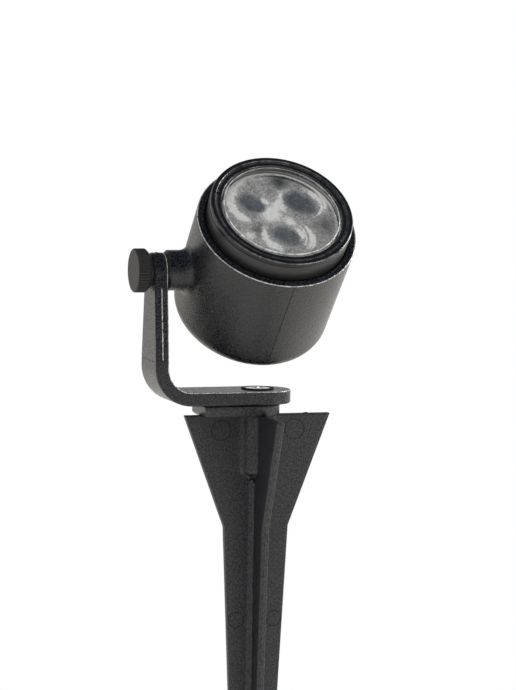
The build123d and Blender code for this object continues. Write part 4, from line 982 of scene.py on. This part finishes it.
def knob_grid():
    """Rows along the profile from the seat to the face; the radius is the lesser of the
    profile's and the knurl's, a parabola-shaped groove repeated round the rim."""
    length = KNOB_LENGTH
    seat = bend((KNOB_R - 1.3, 0), (KNOB_R - 0.25, 1.0), (KNOB_R, 1.4), 7)
    rim = np.stack([np.full(6, KNOB_R), np.linspace(1.5, length - 0.75, 6)], axis=-1)
    edge = bend((KNOB_R, length - 0.6), (KNOB_R, length), (KNOB_R - 0.6, length), 7)
    face = [(KNOB_R - 0.9, length), (KNOB_R * 0.6, length - 0.03), (0, length - 0.05)]
    profile = np.concatenate([[(0, 0)], seat, rim, edge, face])
    angle = np.linspace(0, 2 * np.pi, RIBS * RIB_STEPS, endpoint=False)
    from_groove = (angle * RIBS / (2 * np.pi) + 0.5) % 1 - 0.5
    arc = from_groove * 2 * np.pi * KNOB_R / RIBS
    dip = GROOVE_DEPTH * np.maximum(0, 1 - (arc / GROOVE_HALF) ** 2)
    radius = np.minimum(profile[:, :1], KNOB_R - dip[None, :])
    x = knob_high[0] - np.broadcast_to(profile[:, 1:], radius.shape)
    return np.stack([x, radius * np.cos(angle), PIVOT_Z + radius * np.sin(angle)], axis=-1)


knob = make_piece("knurled_knob", [knob_grid()], "knob", knob_metal, math.radians(35))
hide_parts("knob")

# %% [markdown]
# ## The foot screw
# Seen almost edge on, the screw is a bright lens of light with a dark cross in it. The
# recess of a cross-head screw narrows as it goes down, so its walls slant and each catches
# the light differently. The head is a height field over a disc: the crown, less the recess.

# %% Cross-recess screw
screw_low, screw_high = in_mm(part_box("foot_screw"))
SCREW_HEAD_R = screw_high[0]
SCREW_FACE = screw_high[2]
SCREW_R = 2.5
SCREW_HEAD_DEPTH = 2.5
SCREW_COLUMNS = 192
CROWN = 0.12
TURNING_MARKS = 0.012
RECESS_REACH = 2.75
RECESS_END = 1.1
RECESS_HALF = 0.52
RECESS_WALL = 0.22
RECESS_DEPTH = 1.9


def screw_grid():
    """Rings from the middle of the head outwards, then down the cone, shank and tip."""
    radius = np.concatenate([np.linspace(0, 3.2, 44), np.linspace(3.3, SCREW_HEAD_R - 0.12, 10)])
    angle = np.linspace(0, 2 * np.pi, SCREW_COLUMNS, endpoint=False)
    x, y = radius[:, None] * np.cos(angle), radius[:, None] * np.sin(angle)
    u, v = np.abs(x + y) / math.sqrt(2), np.abs(x - y) / math.sqrt(2)
    long_way, short_way = np.maximum(u, v), np.minimum(u, v)
    taper = np.clip((RECESS_REACH - long_way) / RECESS_END, 0, 1)
    half = RECESS_HALF * (1.25 - 0.3 * long_way / RECESS_REACH)
    wall = np.clip((half - short_way) / RECESS_WALL, 0, 1)
    crown = CROWN * (1 - (radius[:, None] / SCREW_HEAD_R) ** 2)
    crown = crown + TURNING_MARKS * np.sin(radius[:, None] * 14)
    top = np.stack([x, y, SCREW_FACE - CROWN + crown - RECESS_DEPTH * taper * wall], axis=-1)
    lower = np.array([
        (SCREW_HEAD_R - 0.04, SCREW_FACE - 0.14), (SCREW_HEAD_R, SCREW_FACE - 0.22),
        (SCREW_R, SCREW_FACE - SCREW_HEAD_DEPTH), (SCREW_R, screw_low[2] + 1),
        (1.5, screw_low[2]), (0, screw_low[2]),
    ])
    return np.concatenate([top, turned(lower, SCREW_COLUMNS)])


screw = make_piece("cross_recess_screw", [screw_grid()], "ground_spike", bright_steel)
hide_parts("foot_screw")

# %% [markdown]
# ## The triple optic
# The face of the lamp is what the eye goes to: one frosted acrylic plate with three shallow
# wells, each over an LED. Off the axis such a lens shows its LED as a dark blue-grey core,
# and its frosted walls as silvery arcs that are brighter on one side. Real refraction would
# be noisy and slow here, so the plate is a height field with wells, rings and fine radial
# ripples, and that light and shade is painted into its colour instead. Two values are stored
# with its points: the frosting's lightness with painted highlights and painted shade in it,
# and how much of a painted dark image of an LED shows. The first is the frosting's own
# lightness plus a sum of soft strokes, each an arc of painted highlight or painted shade with
# a width and a reach. The second is a soft oval of painted shade at each LED's image.

# %% The wells' places and the strokes
OPTIC_LOW, OPTIC_TOP = heights("triple_optic")
optic_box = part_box("triple_optic")
OPTIC_R = (optic_box[1][0] - optic_box[0][0]) / 2 / MM
LENS_ANGLES = np.radians([31.0, 151.0, 271.0])
LENS_RING_R = 10.8
LENS_R = 9.25
PLATE_THICKNESS = 1.8
WELL_DEPTH = 0.55
IMAGE_SHIFT = np.array([0.15, 1.25])
OPTIC_COLUMNS = 540
CUP_HOLLOW_R = 2.69
CUP_HOLLOW_DEPTH = 4.0


def polar_about(x, y, middle):
    """Distance and bearing of each point from a middle."""
    dx, dy = x - middle[0], y - middle[1]
    return np.hypot(dx, dy), np.arctan2(dy, dx)


def stroke(x, y, middle, radius, half_width, bearing, reach):
    """A soft arc: a bell across its width times a bell along its bearing, both in degrees."""
    distance, angle = polar_about(x, y, middle)
    turn = (np.degrees(angle) - bearing + 180) % 360 - 180
    return np.exp(-((distance - radius) / half_width) ** 2 - (turn / reach) ** 2)


def lens_middle(number):
    """The middle of one lens as it shows through the plate."""
    angle = LENS_ANGLES[number]
    return LENS_RING_R * np.array([np.cos(angle), np.sin(angle)]) + IMAGE_SHIFT


RIGHT, LEFT, FRONT = (lens_middle(number) for number in range(3))

# %% How light the frosting is, with painted highlights and painted shade
# Each stroke: middle, radius, half width, bearing and reach in degrees, and gain. A positive gain paints a
# highlight into the frosting, a negative one paints shade.
PAINTED_LIGHT_STROKES = (
    (LEFT + (4.6, 0.2), 12.9, 1.5, 160, 52, 0.36),
    (LEFT + (4.4, 0.2), 13.6, 0.7, 140, 38, 0.14),
    (LEFT, 8.6, 1.1, 222, 26, 0.30),
    (LEFT + (4.7, 1.1), 0.0, 1.3, 0, 999, 0.46),
    ((-3.2, 1.4), 0.0, 3.4, 0, 999, 0.30),
    ((0.5, 5.4), 0.0, 1.9, 0, 999, 0.26),
    (RIGHT, 8.0, 0.9, 172, 32, 0.30),
    ((3.2, -2.6), 0.0, 1.9, 0, 999, 0.22),
    (RIGHT, 7.6, 0.7, 25, 26, 0.40),
    (RIGHT, 9.3, 0.6, 8, 30, 0.34),
    (RIGHT, 8.1, 0.4, -28, 22, 0.34),
    (RIGHT, 6.4, 0.5, 38, 16, 0.22),
    (FRONT, 8.5, 1.2, 190, 34, 0.34),
    (FRONT, 7.4, 1.5, 226, 18, 0.24),
    (FRONT, 5.9, 0.9, 12, 24, 0.34),
    (FRONT, 7.5, 0.35, 2, 34, 0.22),
    (FRONT, 9.4, 0.7, -6, 30, 0.40),
    (FRONT, 10.6, 0.4, -18, 22, 0.24),
    ((-13.5, -9.4), 0.0, 2.2, 0, 999, 0.16),
    ((3.5, 17.2), 0.0, 3.0, 0, 999, -0.18),
    ((-9.5, -7.0), 0.0, 3.2, 0, 999, -0.12),
    ((16.5, -4.6), 0.0, 3.6, 0, 999, -0.10),
    ((0.0, 0.0), 21.4, 0.8, 60, 70, 0.20),
    ((0.0, 0.0), 20.3, 0.5, 62, 45, -0.20),
)
# Painted shade at each LED's image: middle, radius, and the lightness painted there.
PAINTED_LED_SHADES = ((LEFT, 4.6, 0.375), (RIGHT, 5.3, 0.36), (FRONT, 4.4, 0.37))
FROST_LIGHTNESS = 0.60
PAINTED_LIGHT_GAIN = 2.0


def painted_led_shade(x, y):
    """1 in the middle of each LED's image, falling softly to 0, where a dark image of the LED is painted as
    shade; the images are leaning ovals.
    """
    core = np.zeros_like(x)
    for middle, radius, _ in PAINTED_LED_SHADES:
        distance, angle = polar_about(x, y, middle)
        oval = 1 + 0.16 * np.cos(2 * (angle + math.radians(38))) + 0.03 * np.sin(5 * angle)
        share = np.clip((radius * oval + 1.7 - distance) / 3.6, 0, 1)
        core = np.maximum(core, share * share * (3 - 2 * share))
    return core


def streaks(x, y):
    """Fine radial streaks round the nearest lens: sines of the bearing with uneven waves."""
    total = np.zeros_like(x)
    for number, middle in enumerate((RIGHT, LEFT, FRONT)):
        distance, angle = polar_about(x, y, middle)
        waves = np.sin(47 * angle + 0.9 * distance + number) + 0.8 * np.sin(71 * angle - 1.3 * distance)
        waves = waves + 0.7 * np.sin(29 * angle + 2 * np.sin(distance))
        total += waves * np.exp(-((distance - 6.6) / 2.4) ** 2)
    return total


def frost_with_painted_light(x, y):
    """The frosting's lightness with its painted highlights and painted shade, as the eye sees it, turned
    into how much light it scatters.
    """
    lightness = FROST_LIGHTNESS + 0.045 * streaks(x, y)
    for *arc, gain in PAINTED_LIGHT_STROKES:
        lightness = lightness + PAINTED_LIGHT_GAIN * gain * stroke(x, y, *arc)
    core = painted_led_shade(x, y)
    dark = np.full_like(x, PAINTED_LED_SHADES[0][2])
    for middle, radius, lightness_here in PAINTED_LED_SHADES:
        dark = np.where(polar_about(x, y, middle)[0] < radius + 2.5, lightness_here, dark)
    lightness = lightness * (1 - core) + dark * core
    return 1.25 * np.clip(lightness, 0.2, 0.98) ** 2.2


# %% The plate's height field and the cups under it
def well_height(x, y):
    """Three shallow bowls with rings and radial ripples in them."""
    height = np.zeros_like(x)
    for middle in (RIGHT, LEFT, FRONT):
        distance, _ = polar_about(x, y, middle - IMAGE_SHIFT)
        share = np.clip(distance / LENS_R, 0, 1)
        rings = 0.03 * np.sin(share * 26) * (1 - share ** 2)
        height -= WELL_DEPTH * (1 - share ** 2) ** 1.3 - rings
    return height + 0.006 * streaks(x, y)


def optic_grid():
    """A disc of rings out from the middle, then over the rim and under the plate."""
    radius = np.linspace(0, OPTIC_R - 0.15, 170)
    angle = np.linspace(0, 2 * np.pi, OPTIC_COLUMNS, endpoint=False)
    x, y = radius[:, None] * np.cos(angle), radius[:, None] * np.sin(angle)
    top = np.stack([x, y, OPTIC_TOP - 0.03 + well_height(x, y)], axis=-1)
    low = OPTIC_TOP - PLATE_THICKNESS
    rim = np.array([(OPTIC_R, OPTIC_TOP - 0.17), (OPTIC_R, low), (OPTIC_R - 3, low), (0, low)])
    return from_head(np.concatenate([top, turned(rim, OPTIC_COLUMNS)]))


def lens_body(angle):
    """The cup under the plate, hollow over its LED, as a closed profile turned round."""
    foot, top = heights("led_emitters")[0] + 0.6, OPTIC_TOP - PLATE_THICKNESS + 0.3
    hollow_top = foot + CUP_HOLLOW_DEPTH
    outside = bend((3.9, foot), (8.6, foot + 5.0), (LENS_R, top - 0.3), 12)
    profile = np.concatenate([[(0, hollow_top), (CUP_HOLLOW_R, hollow_top), (CUP_HOLLOW_R, foot)], outside])
    profile = np.concatenate([profile, [(LENS_R, top), (0, top)]])
    middle = np.array([LENS_RING_R * np.cos(angle), LENS_RING_R * np.sin(angle), 0.0])
    return from_head(turned(profile, 72) + middle)


# %% Frosted acrylic
frosted = new_material("frosted_acrylic", (0.5, 0.5, 0.5), 0.34)
cloud = noise(frosted, 480, 4.0, 0.7)
sparkle = noise(frosted, 1500, 3.0, 0.75)
mottle = spread(frosted, cloud, 0.62, 1.38, 0.3, 0.7)
speckle = spread(frosted, sparkle, 0.45, 1.55, 0.3, 0.7)
uneven_frost = combined(frosted, "MULTIPLY", mottle, speckle)
# The optic's colour carries the painted highlights and painted shade stored with its points.
painted_frost_light = combined(frosted, "MULTIPLY", stored(frosted, "frost_and_painted_light"), uneven_frost)
capped = combined(frosted, "MINIMUM", painted_frost_light, 0.96)
# A slightly blue tint in the painted dark image of each LED, by the stored core value.
tint = mixed(frosted, stored(frosted, "core"), (1.0, 1.0, 0.965, 1.0), (0.91, 1.0, 1.03, 1.0))
tinted = node(frosted, "ShaderNodeVectorMath", {"operation": "SCALE"}, i0=tint, Scale=capped)
link(frosted, tinted.outputs[0], socket_of(frosted, "Base Color"))
vary_roughness(frosted, cloud, 0.26, 0.42)
emboss(frosted, sparkle, 0.10)

# %% The optic, with the two values at its points
optic_grids = [optic_grid()] + [lens_body(angle) for angle in LENS_ANGLES]
optic = make_piece("frosted_triple_optic", optic_grids, "head", frosted)
optic_local = to_head(optic.data)
for label, share in (("core", painted_led_shade), ("frost_and_painted_light", frost_with_painted_light)):
    values = share(optic_local[:, 0], optic_local[:, 1])
    store(optic, label, values)
    print(label, "from", round(float(values.min()), 3), "to", round(float(values.max()), 3))
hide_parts("triple_optic")

# %% [markdown]
# ## Floor and light
# A black object shows its surroundings more than its own colour, so the studio is built for
# its gloss. The floor is white. The room behind is white low down and fades to dark
# overhead, and on the camera's side it is dark. Faces at a slant mirror the white and turn
# light grey, faces that look at the camera stay black. A strong soft box on the right, which
# only gloss can see, draws thin bright lines on the edges, next to the highlights painted on
# the beads along them. Dull colours are lit from all round, at a level where a colour renders
# about as it is written.

# %% What the background and the floor show
FLOOR_IN_GLOSS = (1.14, 1.10, 1.03, 1.0)
BACKDROP_IN_GLOSS = (0.74, 0.715, 0.665, 1.0)


def background_rays(material):
    """1 for rays straight from the camera or through glass, and for rays in a gloss."""
    path = node(material, "ShaderNodeLightPath").outputs
    through = combined(material, "MAXIMUM", path["Is Camera Ray"], path["Is Transmission Ray"])
    return through, path["Is Glossy Ray"]


def warm_in_gloss(material, mirrored, warm, lit=1.0, shade=WHITE):
    """White to the eye; in a gloss the lit part is slightly warm, as paper is, the rest shade."""
    return mixed(material, mirrored, WHITE, mixed(material, lit, shade, warm))


# %% White floor with a soft shadow
FLOOR_R = 3.0
FLOOR_Z = CAD_BOX[0][2] - 0.0002
FLOOR_COLUMNS = 96
SHADOW_R = 0.20
FADE_R = 0.40

floor_rings = np.array([(0.0, 0.0), (FADE_R, 0.0), (FLOOR_R, 0.0)]) / MM
floor_grid = turned(floor_rings, FLOOR_COLUMNS) * MM + np.array([0.0, 0.0, FLOOR_Z])
floor_mesh = bpy.data.meshes.new("floor")
floor_mesh.from_pydata(floor_grid.reshape(-1, 3), [], cell_corners(len(floor_rings), FLOOR_COLUMNS))
floor = bpy.data.objects.new("floor", floor_mesh)
bpy.context.scene.collection.objects.link(floor)

pale_floor = new_material("pale_floor", (0.82, 0.82, 0.82), 0.8)
glow = node(pale_floor, "ShaderNodeEmission", Strength=1.0)
floor_place = node(pale_floor, "ShaderNodeTexCoord").outputs["Object"]
from_middle = node(pale_floor, "ShaderNodeVectorMath", {"operation": "LENGTH"}, i0=floor_place)
fade_start, fade_end = math.hypot(SHADOW_R, FLOOR_Z), math.hypot(FADE_R, FLOOR_Z)
fade = spread(pale_floor, from_middle.outputs["Value"], 0.0, 1.0, fade_start, fade_end)
seen, mirrored = background_rays(pale_floor)
link(pale_floor, warm_in_gloss(pale_floor, mirrored, FLOOR_IN_GLOSS), glow.inputs["Color"])
shown = combined(pale_floor, "MAXIMUM", combined(pale_floor, "MULTIPLY", fade, seen), mirrored)
mix_surface(pale_floor, shown, pale_floor.node_tree.nodes["Principled BSDF"], glow)
floor_mesh.materials.append(pale_floor)

# %% The room: white behind, dark overhead and in front
AMBIENT = 0.5
ROOM_DARK = 0.06
ROOM_COLOR = (0.55, 0.75, 1.3, 1.0)
BEHIND_FROM, BEHIND_TO = -0.05, 0.35
CEILING_FROM, CEILING_TO = 0.28, 0.62

world = bpy.data.worlds.new("studio")
bpy.context.scene.world = world
world.use_nodes = True
background = world.node_tree.nodes["Background"]
direction = node(world, "ShaderNodeTexCoord").outputs["Generated"]
toward = node(world, "ShaderNodeSeparateXYZ", i0=direction).outputs
smooth = {"interpolation_type": "SMOOTHSTEP"}
behind = node(world, "ShaderNodeMapRange", smooth, i0=toward["Y"], i1=BEHIND_FROM, i2=BEHIND_TO)
below = node(world, "ShaderNodeMapRange", smooth, i0=toward["Z"], i1=CEILING_TO, i2=CEILING_FROM)
backdrop = combined(world, "MULTIPLY", behind.outputs[0], below.outputs[0])
room = node(world, "ShaderNodeMapRange", i0=backdrop, i3=ROOM_DARK, i4=1.0)
seen, mirrored = background_rays(world)
room_white = warm_in_gloss(world, mirrored, BACKDROP_IN_GLOSS, backdrop, ROOM_COLOR)
link(world, room_white, background.inputs["Color"])
in_gloss = node(world, "ShaderNodeMix", i0=mirrored, i2=AMBIENT, i3=room.outputs[0])
in_view = node(world, "ShaderNodeMix", i0=seen, i2=in_gloss.outputs[0], i3=1.0)
link(world, in_view.outputs[0], background.inputs["Strength"])


# %% Soft boxes
def soft_box(name, direction, distance, size, power, in_gloss=True, in_dull=True):
    """A rectangular area lamp in a direction from the object, facing it, with its power in
    watts, and whether it shows in glossy and in dull surfaces."""
    data = bpy.data.lights.new(name, "AREA")
    data.shape = "RECTANGLE"
    data.size, data.size_y = size
    data.energy = power
    lamp = bpy.data.objects.new(name, data)
    away = Vector(direction).normalized()
    lamp.location = Vector((CAMERA_AIM * MM).tolist()) + distance * away
    lamp.rotation_mode = "QUATERNION"
    lamp.rotation_quaternion = (-away).to_track_quat("-Z", "Y")
    lamp.visible_glossy = in_gloss
    lamp.visible_diffuse = in_dull
    bpy.context.scene.collection.objects.link(lamp)
    print(name, "radiance", round(power / (math.pi * size[0] * size[1]), 1))


soft_box("right_soft_box", (0.97, -0.20, 0.14), 1.3, (0.35, 0.8), 11.0, in_gloss=False)
soft_box("right_glint_box", (0.93, -0.04, 0.34), 1.3, (0.5, 0.6), 10.0, in_dull=False)
soft_box("low_front_strip", (0.62, -0.78, 0.0), 1.1, (0.12, 0.5), 1.3, in_dull=False)
soft_box("overhead_fill", (-0.25, -0.55, 0.80), 1.4, (0.8, 0.8), 8.0, in_gloss=False)

# %% The end
bpy.context.view_layer.update()
